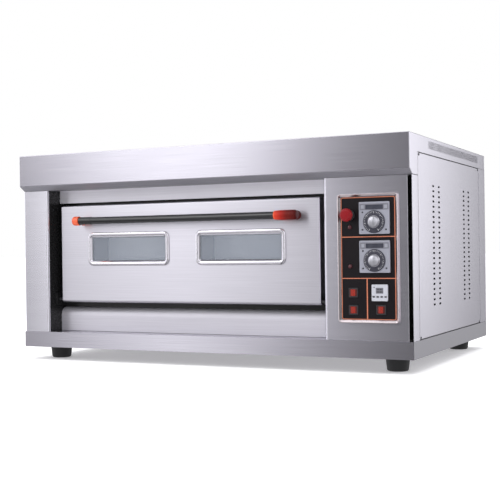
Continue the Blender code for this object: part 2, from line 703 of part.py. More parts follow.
def push_region(bm, distance, left, right, bottom, top):
    """Extrude the flat faces inside a rectangle along Y, and return the moved ones."""
    chosen = []
    for face in bm.faces:
        face.normal_update()
        middle = face.calc_center_median()
        if abs(face.normal.y) > 0.9 and left < middle.x < right and bottom < middle.z < top:
            chosen.append(face)
    swept = bmesh.ops.extrude_face_region(bm, geom=chosen)["geom"]
    bmesh.ops.delete(bm, geom=chosen, context="FACES_ONLY")
    moved = [item for item in swept if isinstance(item, bmesh.types.BMVert)]
    bmesh.ops.translate(bm, vec=(0, distance, 0), verts=moved)
    return [item for item in swept if isinstance(item, bmesh.types.BMFace)]


def faces_forward(mesh):
    """Whether the tray's back faces point to -Y."""
    return sum(polygon.normal.y * polygon.area for polygon in mesh.polygons) < 0


def make_windows():
    """Pressed frames on the door's face, the panes behind them and the inner pane."""
    pieces = []
    frame_depth = 0.004
    opening = (WINDOW[0] - 2 * WINDOW_BAND, WINDOW[1] - 2 * WINDOW_BAND)
    for side, x in window_centres().items():
        middle = (x, DOOR_FACE - GAP, WINDOW_MIDDLE)
        mesh = rounded_slab(side + "_window_frame", WINDOW, WINDOW_CORNER, -frame_depth, 0)
        frame = add_piece(side + "_window_frame", mesh, "bright_steel", middle)
        hole = rounded_slab(side + "_frame_hole", opening, 0.008, -0.01, 0.01)
        combine(frame, add_cutter(hole, middle), "DIFFERENCE")
        near = DOOR_FACE + DOOR_SHEET + GAP
        half = (opening[0] / 2 + 0.008, opening[1] / 2 + 0.008)
        glass = block(side + "_window_glass", (x - half[0], near, WINDOW_MIDDLE - half[1]),
                      (x + half[0], near + PANE, WINDOW_MIDDLE + half[1]), "window_glass")
        pieces += [frame, glass]
    reach = WINDOW_OFFSET + opening[0] / 2 + 0.026
    rise = opening[1] / 2 + 0.026
    near = PLUG_BACK + GAP
    pieces.append(block("inner_glass", (DOOR_CENTRE - reach, near, WINDOW_MIDDLE - rise),
                        (DOOR_CENTRE + reach, near + PANE, WINDOW_MIDDLE + rise), "window_glass"))
    return pieces


def make_handle_bracket(side, direction):
    """A turned end cap on the bar, with an arm back to the door's face."""
    x_end = HANDLE_MIDDLE + direction * BRACKET_END
    length = BRACKET_END - BRACKET_INNER
    radius, round_off = BRACKET_RADIUS, 0.004
    profile = [(0, length), (radius - round_off, length), (radius, length - round_off), (radius, 0.016),
               (radius - 0.002, 0.004), (radius - 0.002, 0), (0, 0)]
    location = (x_end - direction * length, *HANDLE)
    turn = (0, direction * math.radians(90), 0)
    bracket = turned(side + "_handle_bracket", profile, "orange_plastic", location, turn, steps=20)
    arm_x = x_end - direction * BRACKET_RADIUS
    arm = rod_mesh(side + "_bracket_arm", 0.011, DOOR_FACE - GAP - HANDLE[0], sides=16)
    combine(bracket, add_cutter(arm, (arm_x, *HANDLE), FACING_REAR), "UNION")
    bore = rod_mesh(side + "_bracket_bore", HANDLE_RADIUS + 0.0003, 0.046, sides=20)
    combine(bracket, add_cutter(bore, (location[0] - direction * 0.01, *HANDLE), turn), "DIFFERENCE")
    return bracket


def make_handle():
    """The tube across the door and its two brackets."""
    reach = BRACKET_INNER + 0.035
    inner = HANDLE_RADIUS - SHEET
    profile = [(HANDLE_RADIUS, 2 * reach), (HANDLE_RADIUS, 0), (inner, 0), (inner, 2 * reach)]
    bar = turned("handle_bar", profile, "black_enamel", (HANDLE_MIDDLE - reach, *HANDLE),
                 (0, math.radians(90), 0), steps=20, closed=True)
    return [bar, make_handle_bracket("left", -1), make_handle_bracket("right", 1)]


def make_hinge():
    """The rod that turns with the door, and the brackets it turns in."""
    left = POST_INNER + GAP
    right = FASCIA_LEFT - GAP
    for side, low in (("left", left), ("right", right - HINGE_EAR)):
        ear = block(side + "_hinge_bracket", (low, *HINGE_EAR_LOW), (low + HINGE_EAR, *HINGE_EAR_HIGH),
                    "plain_steel")
        bore = rod_mesh(side + "_bracket_hole", HINGE_RADIUS + 0.00012, 0.03, sides=32)
        start = (low - 0.01, *HINGE)
        combine(ear, add_cutter(bore, start, (0, math.radians(90), 0)), "DIFFERENCE")
    length = right - left - 0.006
    mesh = rod_mesh("hinge_rod", HINGE_RADIUS, length, sides=32)
    return add_piece("hinge_rod", mesh, "bright_steel", (left + 0.003, *HINGE), (0, math.radians(90), 0))


def make_door():
    """Everything that swings with the door, hung on its hinge axis."""
    pieces = make_door_skins() + make_windows() + make_handle()
    pieces.append(make_hinge())
    hang_on(add_pivot("door_pivot", (DOOR_CENTRE, *HINGE)), pieces)


# ---------------------------------------------------------------- controls
def box_into(bm, centre, size):
    """Add a box to a mesh that is being built."""
    verts = bmesh.ops.create_cube(bm, size=1.0)["verts"]
    bmesh.ops.scale(bm, vec=size, verts=verts)
    bmesh.ops.translate(bm, vec=centre, verts=verts)


def round_into(bm, x, z, radius, sides):
    """Add a cylinder along Y, through the control plate, to a mesh that is being built."""
    verts = bmesh.ops.create_cone(bm, cap_ends=True, segments=sides, radius1=radius,
                                  radius2=radius, depth=0.02)["verts"]
    bmesh.ops.rotate(bm, cent=(0, 0, 0), matrix=Matrix.Rotation(math.pi / 2, 3, "X"), verts=verts)
    bmesh.ops.translate(bm, vec=(x, PLATE_FACE, z), verts=verts)


def make_fascia():
    """The folded sheet that carries the controls, with its opening and bezel."""
    line = [(MOUTH_RIGHT, JAMB_FACE), (FASCIA_LEFT, JAMB_FACE)]
    line += arc((FASCIA_LEFT + EDGE_ROUND, POST_FACE + EDGE_ROUND), EDGE_ROUND, 180, 270, 4)
    line += arc((FASCIA_RIGHT - 0.003, POST_FACE + 0.003), 0.003, -90, 0, 2)
    line += [(FASCIA_RIGHT, behind(0.060))]
    fascia = folded("control_fascia", "Z", line, (POST_BOTTOM, POST_TOP), "brushed_steel")
    left, right, bottom, top = BEZEL
    middle = ((left + right) / 2, (bottom + top) / 2)
    bm = bmesh.new()
    box_into(bm, (middle[0], POST_FACE, middle[1]), (right - left - 0.028, 0.02, top - bottom - 0.026))
    combine(fascia, add_cutter(new_mesh("fascia_opening", bm)), "DIFFERENCE")
    size = (right - left, top - bottom)
    place = (middle[0], POST_FACE - GAP, middle[1])
    mesh = rounded_slab("control_bezel", size, 0.008, BEZEL_FACE - POST_FACE + GAP, 0)
    bezel = add_piece("control_bezel", mesh, "bright_steel", place)
    inside = (size[0] - 2 * BEZEL_BAND, size[1] - 2 * BEZEL_BAND)
    hole = rounded_slab("bezel_hole", inside, BEZEL_CORNER, -0.02, 0.02)
    combine(bezel, add_cutter(hole, place), "DIFFERENCE")
    return middle, inside


def make_plate(middle, inside):
    """The black plate inside the bezel, cut out for everything it carries."""
    size = (inside[0] - 2 * GAP, inside[1] - 2 * GAP)
    mesh = rounded_slab("control_panel", size, BEZEL_CORNER, 0, PLATE_BACK - PLATE_FACE)
    plate = add_piece("control_panel", mesh, "black_plate", (middle[0], PLATE_FACE, middle[1]))
    bm = bmesh.new()
    for x, z in CONTROLLERS.values():
        box_into(bm, (x, PLATE_FACE, z), (CONTROLLER_BODY + 0.002, 0.02, CONTROLLER_BODY + 0.002))
    box_into(bm, (TIMER[0], PLATE_FACE, TIMER[1]), (TIMER_BODY + 0.0015, 0.02, TIMER_BODY + 0.0015))
    for x, z in SWITCHES.values():
        box_into(bm, (x, PLATE_FACE, z), (SWITCH_BODY[0] + 0.0008, 0.02, SWITCH_BODY[1] + 0.0008))
    round_into(bm, *ESTOP, 0.0114, 16)
    for x, z in INDICATORS.values():
        round_into(bm, x, z, 0.0046, 12)
    combine(plate, add_cutter(new_mesh("plate_openings", bm)), "DIFFERENCE")


def make_controllers():
    """The two square temperature controllers."""
    for level, place in CONTROLLERS.items():
        width, height = CONTROLLER
        rim = PLATE_FACE - GAP
        body = CONTROLLER_BODY
        stepped(level + "_controller", place,
                [(CONTROLLER_BACK, body, body), (rim, body, body), (rim, width, height),
                 (CONTROLLER_FACE + 0.001, width, height), (CONTROLLER_FACE, width - 0.002, height - 0.002)],
                "silver_plastic")


def make_dials():
    """Skirted dials that turn in front of the controllers."""
    skirt, cap = 0.032, 0.016
    profile = [(0, 0.0135), (cap - 0.002, 0.0135), (cap, 0.0115), (cap + 0.0015, 0.0045),
               (skirt - 0.001, 0.003), (skirt, 0.002), (skirt, 0), (0, 0)]
    for level, (x, z) in CONTROLLERS.items():
        location = (x, CONTROLLER_FACE - GAP, z - DIAL_DROP)
        turned(level + "_dial", profile, "grey_dial", location, FACING_FRONT, steps=32)


def make_timer():
    """The timer and its four keys, which sink into pockets."""
    rim = PLATE_FACE - GAP
    width, height = TIMER_SIZE
    module = stepped("timer_module", TIMER,
                     [(TIMER_BACK, TIMER_BODY, TIMER_BODY), (rim, TIMER_BODY, TIMER_BODY),
                      (rim, width, height), (TIMER_FACE, width, height)], "silver_plastic")
    pocket = bmesh.new()
    z = TIMER[1] - KEY_DROP
    for i in range(KEY_COUNT):
        x = TIMER[0] + (i - (KEY_COUNT - 1) / 2) * KEY_PITCH
        box_into(pocket, (x, TIMER_FACE, z), (KEY[0] + 0.0008, 0.006, KEY[1] + 0.0008))
        block("timer_key_%d" % (i + 1), (x - KEY[0] / 2, TIMER_FACE - 0.0008, z - KEY[1] / 2),
              (x + KEY[0] / 2, TIMER_FACE + 0.0018, z + KEY[1] / 2), "dark_plastic")
    combine(module, add_cutter(new_mesh("key_pockets", pocket)), "DIFFERENCE")


def make_switches():
    """Three rockers, each in a frame, modelled pressed in at the right."""
    for name, (x, z) in SWITCHES.items():
        rim = PLATE_FACE - GAP
        frame = stepped(name + "_switch_frame", (x, z),
                        [(SWITCH_BACK, *SWITCH_BODY), (rim, *SWITCH_BODY), (rim, *SWITCH_FLANGE),
                         (SWITCH_FACE, *SWITCH_FLANGE)], "dark_plastic")
        mouth = bmesh.new()
        box_into(mouth, (x, ROCKER_AXIS, z), (SWITCH_MOUTH[0], 0.08, SWITCH_MOUTH[1]))
        combine(frame, add_cutter(new_mesh(name + "_mouth", mouth)), "DIFFERENCE")
        add_piece(name + "_rocker", rocker_mesh(name), "lit_red", (x, ROCKER_AXIS, z), (0, 0, ROCKER_REST))


def rocker_mesh(name):
    """A slab with a shallow V across its front, about its own pivot."""
    half_w, half_d, dip, height = 0.0104, 0.0032, 0.0018, 0.0204
    outline = [(-half_w, half_d), (-half_w, -half_d), (0, dip - half_d), (half_w, -half_d), (half_w, half_d)]
    bm = bmesh.new()
    end = bm.faces.new([bm.verts.new((x, y, -height / 2)) for x, y in outline])
    swept = bmesh.ops.extrude_face_region(bm, geom=[end], use_keep_orig=True)["geom"]
    moved = [item for item in swept if isinstance(item, bmesh.types.BMVert)]
    bmesh.ops.translate(bm, vec=(0, 0, height), verts=moved)
    return new_mesh(name + "_rocker", bm)


def make_buttons():
    """The emergency stop and the two indicator lamps."""
    x, z = ESTOP
    collar = [(0.0125, 0.0115), (0.0150, 0.0100), (0.0150, GAP), (0.0108, GAP), (0.0108, -0.030),
              (0.0078, -0.030), (0.0078, 0.0115)]
    turned("estop_collar", collar, "dark_plastic", (x, PLATE_FACE, z), FACING_FRONT, closed=True)
    reach = PLATE_FACE - (FRONT - STICK_OUT)
    head, stem = 0.019, 0.0070
    profile = [(0, reach), (0.008, reach - 0.0005), (0.014, reach - 0.0025), (head - 0.001, reach - 0.007),
               (head, reach - 0.010), (head, reach - 0.015), (0.012, reach - 0.021), (stem, reach - 0.022),
               (stem, -0.022), (0, -0.022)]
    turned("estop_button", profile, "red_plastic", (x, PLATE_FACE, z), FACING_FRONT)
    lens = [(0, 0.0055), (0.003, 0.005), (0.0050, 0.003), (0.0050, GAP), (0.0040, GAP), (0.0040, -0.014),
            (0, -0.014)]
    for level, (lamp_x, lamp_z) in INDICATORS.items():
        place = (lamp_x, PLATE_FACE, lamp_z)
        turned(level + "_indicator", lens, "red_plastic", place, FACING_FRONT, steps=16)


def make_controls():
    """Everything on the control side."""
    middle, inside = make_fascia()
    make_plate(middle, inside)
    make_controllers()
    make_dials()
    make_timer()
    make_switches()
    make_buttons()


def clear_scene():
    """Start from an empty scene with a collection for pieces and one for cutters."""
    for old in list(bpy.data.objects):
        bpy.data.objects.remove(old, do_unlink=True)
    for name in ("deck_oven", "cutters"):
        collection = bpy.data.collections.new(name)
        bpy.context.scene.collection.children.link(collection)


def main():
    """Build the oven."""
    clear_scene()
    make_base()
    make_canopy()
    make_posts()
    make_door_surround()
    make_covers()
    make_chamber()
    make_hearth()
    make_chamber_fittings()
    make_door()
    make_controls()


main()
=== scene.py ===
"""The look of a one-deck electric bakery oven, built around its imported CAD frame.

Metres, +Z up. The oven faces -Y, and +X is on the right of someone facing it.
"""
import math

import bmesh
import bpy
from mathutils import Matrix, Vector


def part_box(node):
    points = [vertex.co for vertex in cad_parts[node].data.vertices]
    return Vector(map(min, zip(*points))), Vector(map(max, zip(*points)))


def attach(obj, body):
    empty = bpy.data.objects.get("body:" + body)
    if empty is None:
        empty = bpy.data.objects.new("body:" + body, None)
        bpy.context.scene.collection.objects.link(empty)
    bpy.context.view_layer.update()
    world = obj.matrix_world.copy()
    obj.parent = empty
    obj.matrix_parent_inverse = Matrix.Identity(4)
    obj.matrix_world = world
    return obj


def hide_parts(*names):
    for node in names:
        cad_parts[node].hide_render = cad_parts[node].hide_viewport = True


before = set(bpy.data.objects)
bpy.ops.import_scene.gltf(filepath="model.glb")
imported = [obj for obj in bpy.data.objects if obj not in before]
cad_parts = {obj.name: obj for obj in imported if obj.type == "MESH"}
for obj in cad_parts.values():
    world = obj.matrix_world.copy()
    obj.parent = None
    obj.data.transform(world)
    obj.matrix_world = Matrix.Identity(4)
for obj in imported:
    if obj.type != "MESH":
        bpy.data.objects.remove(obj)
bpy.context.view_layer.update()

SHEET = 0.0015
GAP = 0.0004
UNIT = {"X": Vector((1, 0, 0)), "Y": Vector((0, 1, 0)), "Z": Vector((0, 0, 1))}
TO_FRONT = Vector((0, -1, 0))


def corners(node):
    """The lowest and highest corner of a CAD node."""
    low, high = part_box(node)
    return Vector(low), Vector(high)


def middle(node):
    """The middle of a CAD node's box."""
    low, high = corners(node)
    return (low + high) / 2


CANOPY_LOW, CANOPY_HIGH = corners("canopy")
HALF = CANOPY_HIGH.x
FRONT = CANOPY_LOW.y
REAR = CANOPY_HIGH.y
LEFT_POST = corners("left_front_post")
FASCIA = corners("control_fascia")
LINTEL = corners("lintel")
SILL = corners("sill")
DOOR = corners("door_outer_panel")
DOOR_X = middle("door_outer_panel").x
DOOR_FACE = DOOR[0].y
PLATE_FACE = corners("control_panel")[0].y
POST_FACE = LEFT_POST[0].y
FRONT_SEAM = corners("left_side_cover")[0].y - 2 * GAP
HANDLE = middle("handle_bar")
HANDLE_RADIUS = 0.0115
BRACKET_RADIUS = 0.015
BRACKET_END = (corners("right_handle_bracket")[1].x - corners("left_handle_bracket")[0].x) / 2
BRACKET_INNER = 0.3252
# The left bracket's orange starts here; inside it, back to BRACKET_INNER, a black sleeve stands for
# painted shade.
SHADE_SLEEVE_START = 0.3718
TUBE_REACH = BRACKET_INNER + 0.035
TUBE_CLEARANCE = 0.0003


# ---------------------------------------------------------------- mesh helpers
def link(name, mesh):
    """A new object in the scene."""
    piece = bpy.data.objects.new(name, mesh)
    bpy.context.scene.collection.objects.link(piece)
    return piece


def from_bmesh(name, bm, closed=True):
    """An object from a bmesh, with the faces of a closed body pointing out."""
    if closed:
        bmesh.ops.recalc_face_normals(bm, faces=bm.faces)
    mesh = bpy.data.meshes.new(name)
    bm.to_mesh(mesh)
    bm.free()
    return link(name, mesh)


def apply_modifiers(piece):
    """Turn a piece's modifiers into its own mesh."""
    graph = bpy.context.evaluated_depsgraph_get()
    mesh = bpy.data.meshes.new_from_object(piece.evaluated_get(graph))
    piece.modifiers.clear()
    piece.data = mesh


def combine(piece, bm, operation="DIFFERENCE"):
    """Cut a bmesh's shape out of a piece, or join it on."""
    guide = from_bmesh(piece.name + "_guide", bm)
    boolean = piece.modifiers.new("shape", "BOOLEAN")
    boolean.operation = operation
    boolean.solver = "EXACT"
    boolean.object = guide
    apply_modifiers(piece)
    bpy.data.objects.remove(guide, do_unlink=True)


def cut(piece, add_shape, *values):
    """Cut one shape, which a function adds to a bmesh, out of a piece."""
    bm = bmesh.new()
    add_shape(bm, *values)
    combine(piece, bm)


def weld(piece, distance=0.00002):
    """Merge the points that a cut leaves almost on top of each other."""
    bm = bmesh.new()
    bm.from_mesh(piece.data)
    bmesh.ops.remove_doubles(bm, verts=bm.verts, dist=distance)
    bmesh.ops.dissolve_degenerate(bm, edges=bm.edges, dist=distance)
    bm.to_mesh(piece.data)
    bm.free()


def bevel(piece, width, segments=2, angle=30):
    """Round a piece's sharp edges."""
    modifier = piece.modifiers.new("bevel", "BEVEL")
    modifier.width = width
    modifier.segments = segments
    modifier.limit_method = "ANGLE"
    modifier.angle_limit = math.radians(angle)
    return modifier


def finish(piece, body, material, slot, *nodes, edge=0.0, segments=2, angle=30):
    """Round, smooth, colour and place a piece, which stands for some CAD nodes."""
    if edge:
        bevel(piece, edge, segments, angle)
        apply_modifiers(piece)
    piece.data.shade_smooth()
    piece.data.set_sharp_from_angle(angle=math.radians(35))
    weighted = piece.modifiers.new("normals", "WEIGHTED_NORMAL")
    weighted.keep_sharp = True
    apply_modifiers(piece)
    if material is not None:
        piece.data.materials.clear()
        piece.data.materials.append(material)
    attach(piece, body)
    if nodes:
        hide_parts(*nodes)
    return piece


def box_into(bm, low, high):
    """Add a box to a bmesh, by two corners."""
    low, high = Vector(low), Vector(high)
    verts = bmesh.ops.create_cube(bm, size=1.0)["verts"]
    bmesh.ops.scale(bm, vec=high - low, verts=verts)
    bmesh.ops.translate(bm, vec=(low + high) / 2, verts=verts)
    return verts


def cylinder_into(bm, centre, axis, radius, depth, sides=32):
    """Add a cylinder to a bmesh, by its middle and its axis."""
    turn = UNIT["Z"].rotation_difference(Vector(axis)).to_matrix().to_4x4()
    bmesh.ops.create_cone(bm, cap_ends=True, segments=sides, radius1=radius, radius2=radius,
                          depth=depth, matrix=Matrix.Translation(centre) @ turn)


def arc(centre, radius, start, end, steps):
    """Points on an arc, by angles in degrees."""
    angles = [math.radians(start + (end - start) * i / steps) for i in range(steps + 1)]
    return [(centre[0] + radius * math.cos(a), centre[1] + radius * math.sin(a)) for a in angles]


def section_point(axis, station, point):
    """A point of a section drawn square to an axis, at a station along it."""
    if axis == "X":
        return Vector((station, point[0], point[1]))
    return Vector((point[0], point[1], station))


def offset_line(line, distance):
    """A line moved to its left, with mitred corners."""
    def left_of(first, second):
        along = (Vector(second) - Vector(first)).normalized()
        return Vector((-along.y, along.x))

    sides = [left_of(*pair) for pair in zip(line, line[1:])]
    moved = []
    for i, point in enumerate(line):
        before, after = sides[max(i - 1, 0)], sides[min(i, len(sides) - 1)]
        normal = (before + after).normalized()
        moved.append(Vector(point) + normal * (distance / normal.dot(before)))
    return moved


def prism_into(bm, axis, points, span):
    """Add a body of one section, drawn square to an axis, between two stations along it."""
    ends = [[bm.verts.new(section_point(axis, station, point)) for point in points] for station in span]
    skin_between(bm, *ends)
    for end in ends:
        bm.faces.new(end)


def folded(name, axis, line, span):
    """A sheet folded along a line and running along an axis; its outer face is on the right."""
    bm = bmesh.new()
    prism_into(bm, axis, [*line, *offset_line(line, SHEET)[::-1]], span)
    return from_bmesh(name, bm)


def skin_between(bm, first, second):
    """Faces between two loops of as many points."""
    for i in range(len(first)):
        j = (i + 1) % len(first)
        bm.faces.new((first[i], first[j], second[j], second[i]))


def outline(width, height, corner, steps=6):
    """The points of a rounded rectangle, across and up."""
    points = []
    for quarter, (side, rise) in enumerate(((1, 1), (-1, 1), (-1, -1), (1, -1))):
        centre = (side * (width / 2 - corner), rise * (height / 2 - corner))
        points += arc(centre, corner, 90 * quarter, 90 * quarter + 90, steps)
    return points


def stacked_into(bm, place, layers, ring=False, steps=6):
    """Add rounded rectangles (y, width, height, corner) joined in order, round a middle (x, z)."""
    loops = []
    for y, width, height, corner in layers:
        points = outline(width, height, corner, steps)
        loops.append([bm.verts.new((place[0] + x, y, place[1] + z)) for x, z in points])
    for pair in zip(loops, loops[1:]):
        skin_between(bm, *pair)
    if ring:
        skin_between(bm, loops[-1], loops[0])
    else:
        bm.faces.new(loops[0])
        bm.faces.new(loops[-1])


def stacked(name, place, layers, ring=False, steps=6):
    """A body of stacked rounded rectangles."""
    bm = bmesh.new()
    stacked_into(bm, place, layers, ring, steps)
    return from_bmesh(name, bm)


def framed(name, place, size, corner, profile, steps):
    """A frame round a middle (x, z), whose profile is given as (inset from its outline, y)."""
    layers = [(y, size[0] - 2 * inset, size[1] - 2 * inset, max(corner - inset, 0.003))
              for inset, y in profile]
    return stacked(name, place, layers, True, steps)


def turned_into(bm, profile, origin, direction, steps=48, closed=False):
    """Add a turned shape: (radius, height) down its outer side, standing on an origin."""
    shape = bmesh.new()
    points = [shape.verts.new((radius, 0, height)) for radius, height in profile]
    for pair in zip(points, points[1:]):
        shape.edges.new(pair)
    if closed:
        shape.edges.new((points[-1], points[0]))
    bmesh.ops.spin(shape, geom=shape.verts[:] + shape.edges[:], cent=(0, 0, 0), axis=(0, 0, 1),
                   angle=math.tau, steps=steps, use_merge=True)
    bmesh.ops.remove_doubles(shape, verts=shape.verts, dist=1e-7)
    turn = UNIT["Z"].rotation_difference(Vector(direction)).to_matrix().to_4x4()
    bmesh.ops.transform(shape, matrix=Matrix.Translation(origin) @ turn, verts=shape.verts)
    merge_into(bm, shape)


def merge_into(bm, other):
    """Add another bmesh's contents and free it."""
    mesh = bpy.data.meshes.new("part")
    bmesh.ops.recalc_face_normals(other, faces=other.faces)
    other.to_mesh(mesh)
    other.free()
    bm.from_mesh(mesh)
    bpy.data.meshes.remove(mesh)


def turned(name, profile, origin, direction, steps=48, closed=False):
    """A turned piece."""
    bm = bmesh.new()
    turned_into(bm, profile, origin, direction, steps, closed)
    return from_bmesh(name, bm)


def open_up(bm, unwanted):
    """Delete the faces of a closed shape that are unwanted, leaving a surface."""
    bmesh.ops.recalc_face_normals(bm, faces=bm.faces)
    bm.normal_update()
    lids = [face for face in bm.faces if unwanted(face)]
    bmesh.ops.delete(bm, geom=lids, context="FACES_ONLY")


def press(name, bm, edge, segments=3, thickness=SHEET, angle=30):
    """A piece of sheet from an open surface: its folds are rounded, and it grows inward."""
    piece = from_bmesh(name, bm, closed=False)
    bevel(piece, edge, segments, angle)
    solidify = piece.modifiers.new("thickness", "SOLIDIFY")
    solidify.thickness = thickness
    solidify.offset = -1
    solidify.use_even_offset = True
    apply_modifiers(piece)
    return piece


# ---------------------------------------------------------------- materials
class Nodes:
    """The nodes of a material or a world, built one at a time."""

    def __init__(self, owner, shader="Principled BSDF"):
        owner.use_nodes = True
        self.owner = owner
        self.tree = owner.node_tree
        self.shader = self.tree.nodes[shader]
        self.where = self.add("ShaderNodeTexCoord").outputs

    def put(self, socket, value):
        """Set a socket, or link another node's output to it."""
        if isinstance(value, bpy.types.NodeSocket):
            self.tree.links.new(value, socket)
        else:
            socket.default_value = value

    def fill(self, node, **values):
        """Set or link a node's sockets by name."""
        for key, value in values.items():
            self.put(node.inputs[key.replace("_", " ")], value)

    def add(self, kind, *values, **named):
        """A node with its first sockets, and those that are named, set or linked."""
        node = self.tree.nodes.new(kind)
        for socket, value in zip(node.inputs, values):
            self.put(socket, value)
        self.fill(node, **named)
        return node

    def noise(self, scale, detail=3.0, stretch=(1, 1, 1)):
        """A noise pattern, stretched along the axes with a small scale."""
        mapping = self.add("ShaderNodeMapping", self.where["Object"], Scale=stretch)
        return self.add("ShaderNodeTexNoise", mapping.outputs[0], Scale=scale, Detail=detail).outputs[0]

    def remap(self, value, low, high, start=0.3, end=0.7):
        """A value between start and end, spread from low to high."""
        return self.add("ShaderNodeMapRange", value, start, end, low, high).outputs[0]

    def mix(self, factor, first, second):
        """A colour between two colours."""
        node = self.tree.nodes.new("ShaderNodeMix")
        node.data_type = "RGBA"
        for index, value in ((0, factor), (6, first), (7, second)):
            self.put(node.inputs[index], value)
        return node.outputs[2]

    def vector(self, operation, *values, **named):
        """The result of an operation on vectors."""
        node = self.add("ShaderNodeVectorMath", *values)
        node.operation = operation
        self.fill(node, **named)
        return node.outputs[0]

    def ramp(self, value, stops):
        """A colour that follows a value through stops of (position, colour)."""
        node = self.add("ShaderNodeValToRGB", value)
        elements = node.color_ramp.elements
        elements.remove(elements[-1])
        for i, (position, colour) in enumerate(stops):
            element = elements[0] if i == 0 else elements.new(position)
            element.position = position
            element.color = rgba(colour)
        return node.outputs[0]


def rgba(colour):
    """A colour with its alpha."""
    return (*colour, 1.0)


def textured(name, dark, light, roughness, metallic=0.0, grain=300.0, stretch=(1, 1, 1), relief=0.0,
             patches=7.0, uneven=0.05, **sockets):
    """The nodes of a finish with grain, relief, and patches of slightly different colour and gloss."""
    nodes = Nodes(bpy.data.materials.new(name))
    fine = nodes.noise(grain, 4.0, stretch)
    wide = nodes.noise(patches, 3.0)
    colour = nodes.mix(nodes.remap(fine, 0.0, 1.0), rgba(dark), rgba(light))
    darker = rgba([0.5 * (a + b) * 0.93 for a, b in zip(dark, light)])
    blotches = nodes.remap(wide, 0.0, 0.5, 0.0, 1.0)
    gloss = nodes.remap(wide, roughness - 2 * uneven, roughness + 2 * uneven, 0.0, 1.0)
    nodes.fill(nodes.shader, Base_Color=nodes.mix(blotches, colour, darker), Roughness=gloss,
               Metallic=metallic, **sockets)
    if relief:
        bump = nodes.add("ShaderNodeBump", Height=fine, Distance=relief)
        nodes.fill(nodes.shader, Normal=bump.outputs[0])
    return nodes


def surface(*values, **settings):
    """A textured material."""
    return textured(*values, **settings).owner


def painted_shade_plastic(name, start, end, stops):
    """Glossy plastic whose colour changes from left to right: a painted highlight at one end and painted
    shade towards the other.
    """
    nodes = textured(name, stops[0][1], stops[-1][1], 0.32, grain=500, relief=0.00002,
                     Specular_IOR_Level=0.16)
    parts = nodes.add("ShaderNodeSeparateXYZ", nodes.where["Object"]).outputs
    band = nodes.ramp(nodes.remap(parts["X"], 0.0, 1.0, start, end), stops)
    speckle = nodes.remap(nodes.noise(400.0), 0.0, 0.12)
    nodes.fill(nodes.shader, Base_Color=nodes.mix(speckle, band, rgba(stops[1][1])))
    return nodes.owner


def brushed(name, dark, light, roughness=0.26, anisotropic=0.75, axis="Z", metallic=1.0):
    """Steel brushed level, so that highlights stretch up and down."""
    nodes = textured(name, dark, light, roughness, metallic, grain=1.0, stretch=(5, 260, 420),
                     relief=0.00003, patches=3.0, uneven=0.015, Anisotropic=anisotropic,
                     Anisotropic_Rotation=0.25)
    tangent = nodes.add("ShaderNodeTangent")
    tangent.direction_type = "RADIAL"
    tangent.axis = axis
    nodes.fill(nodes.shader, Tangent=tangent.outputs[0])
    return nodes.owner


CASING = brushed("casing_steel", (0.60, 0.585, 0.645), (0.69, 0.675, 0.735))
HOOD_STEEL = brushed("hood_steel", (0.54, 0.525, 0.58), (0.62, 0.605, 0.66))
TOP_STEEL = brushed("top_steel", (0.54, 0.525, 0.58), (0.62, 0.605, 0.66), axis="Y")
POST_STEEL = brushed("post_steel", (0.80, 0.785, 0.85), (0.88, 0.865, 0.93))
FASCIA_STEEL = brushed("fascia_steel", (0.66, 0.645, 0.71), (0.75, 0.735, 0.80))
DOOR_STEEL = brushed("door_steel", (0.67, 0.655, 0.71), (0.75, 0.735, 0.795), 0.34, 0.65)
SATIN_STEEL = brushed("satin_steel", (0.78, 0.765, 0.82), (0.86, 0.845, 0.90), 0.48, 0.5, metallic=0.55)
SILL_STEEL = brushed("sill_steel", (0.63, 0.615, 0.67), (0.71, 0.695, 0.75), 0.50, 0.5, metallic=0.50)
# Darker steel for the hood's downward-facing bevel: painted shade.
UNDERSIDE_SHADE_STEEL = brushed("underside_painted_shade_steel", (0.26, 0.255, 0.285), (0.30, 0.295, 0.325), 0.42, 0.3, metallic=0.6)
# Darker steel painted where shade falls: the covers' rounded edges and the base pan's sides.
SHADE_STEEL = brushed("shaded_steel", (0.34, 0.335, 0.36), (0.40, 0.395, 0.42), 0.40, 0.5)
BRIGHT = surface("bright_steel", (0.74, 0.72, 0.77), (0.82, 0.80, 0.85), 0.22, 1.0, relief=0.00001)
# Steel with a pink tint: a painted reflection of the orange lines beside it.
BEZEL_REFLECTION_STEEL = surface("bezel_steel_painted_reflection", (0.70, 0.63, 0.645), (0.76, 0.69, 0.705), 0.22, 1.0, relief=0.00001)
PLAIN = surface("plain_steel", (0.40, 0.40, 0.42), (0.50, 0.50, 0.52), 0.42, 1.0, 60, relief=0.00003)
HOT = surface("hot_steel", (0.10, 0.085, 0.08), (0.24, 0.19, 0.16), 0.5, 0.9, 90, relief=0.00004,
              uneven=0.12)
HEARTH = surface("hearth", (0.05, 0.05, 0.055), (0.11, 0.10, 0.10), 0.65, 0.2, 250, relief=0.0001,
                 uneven=0.1)
WOOL = surface("mineral_wool", (0.44, 0.38, 0.22), (0.72, 0.66, 0.48), 0.95, 0, 160, (1, 1, 3), 0.002,
               uneven=0.03)
RUBBER = surface("black_rubber", (0.008, 0.008, 0.009), (0.020, 0.020, 0.021), 0.62, 0, 900,
                 relief=0.00008)
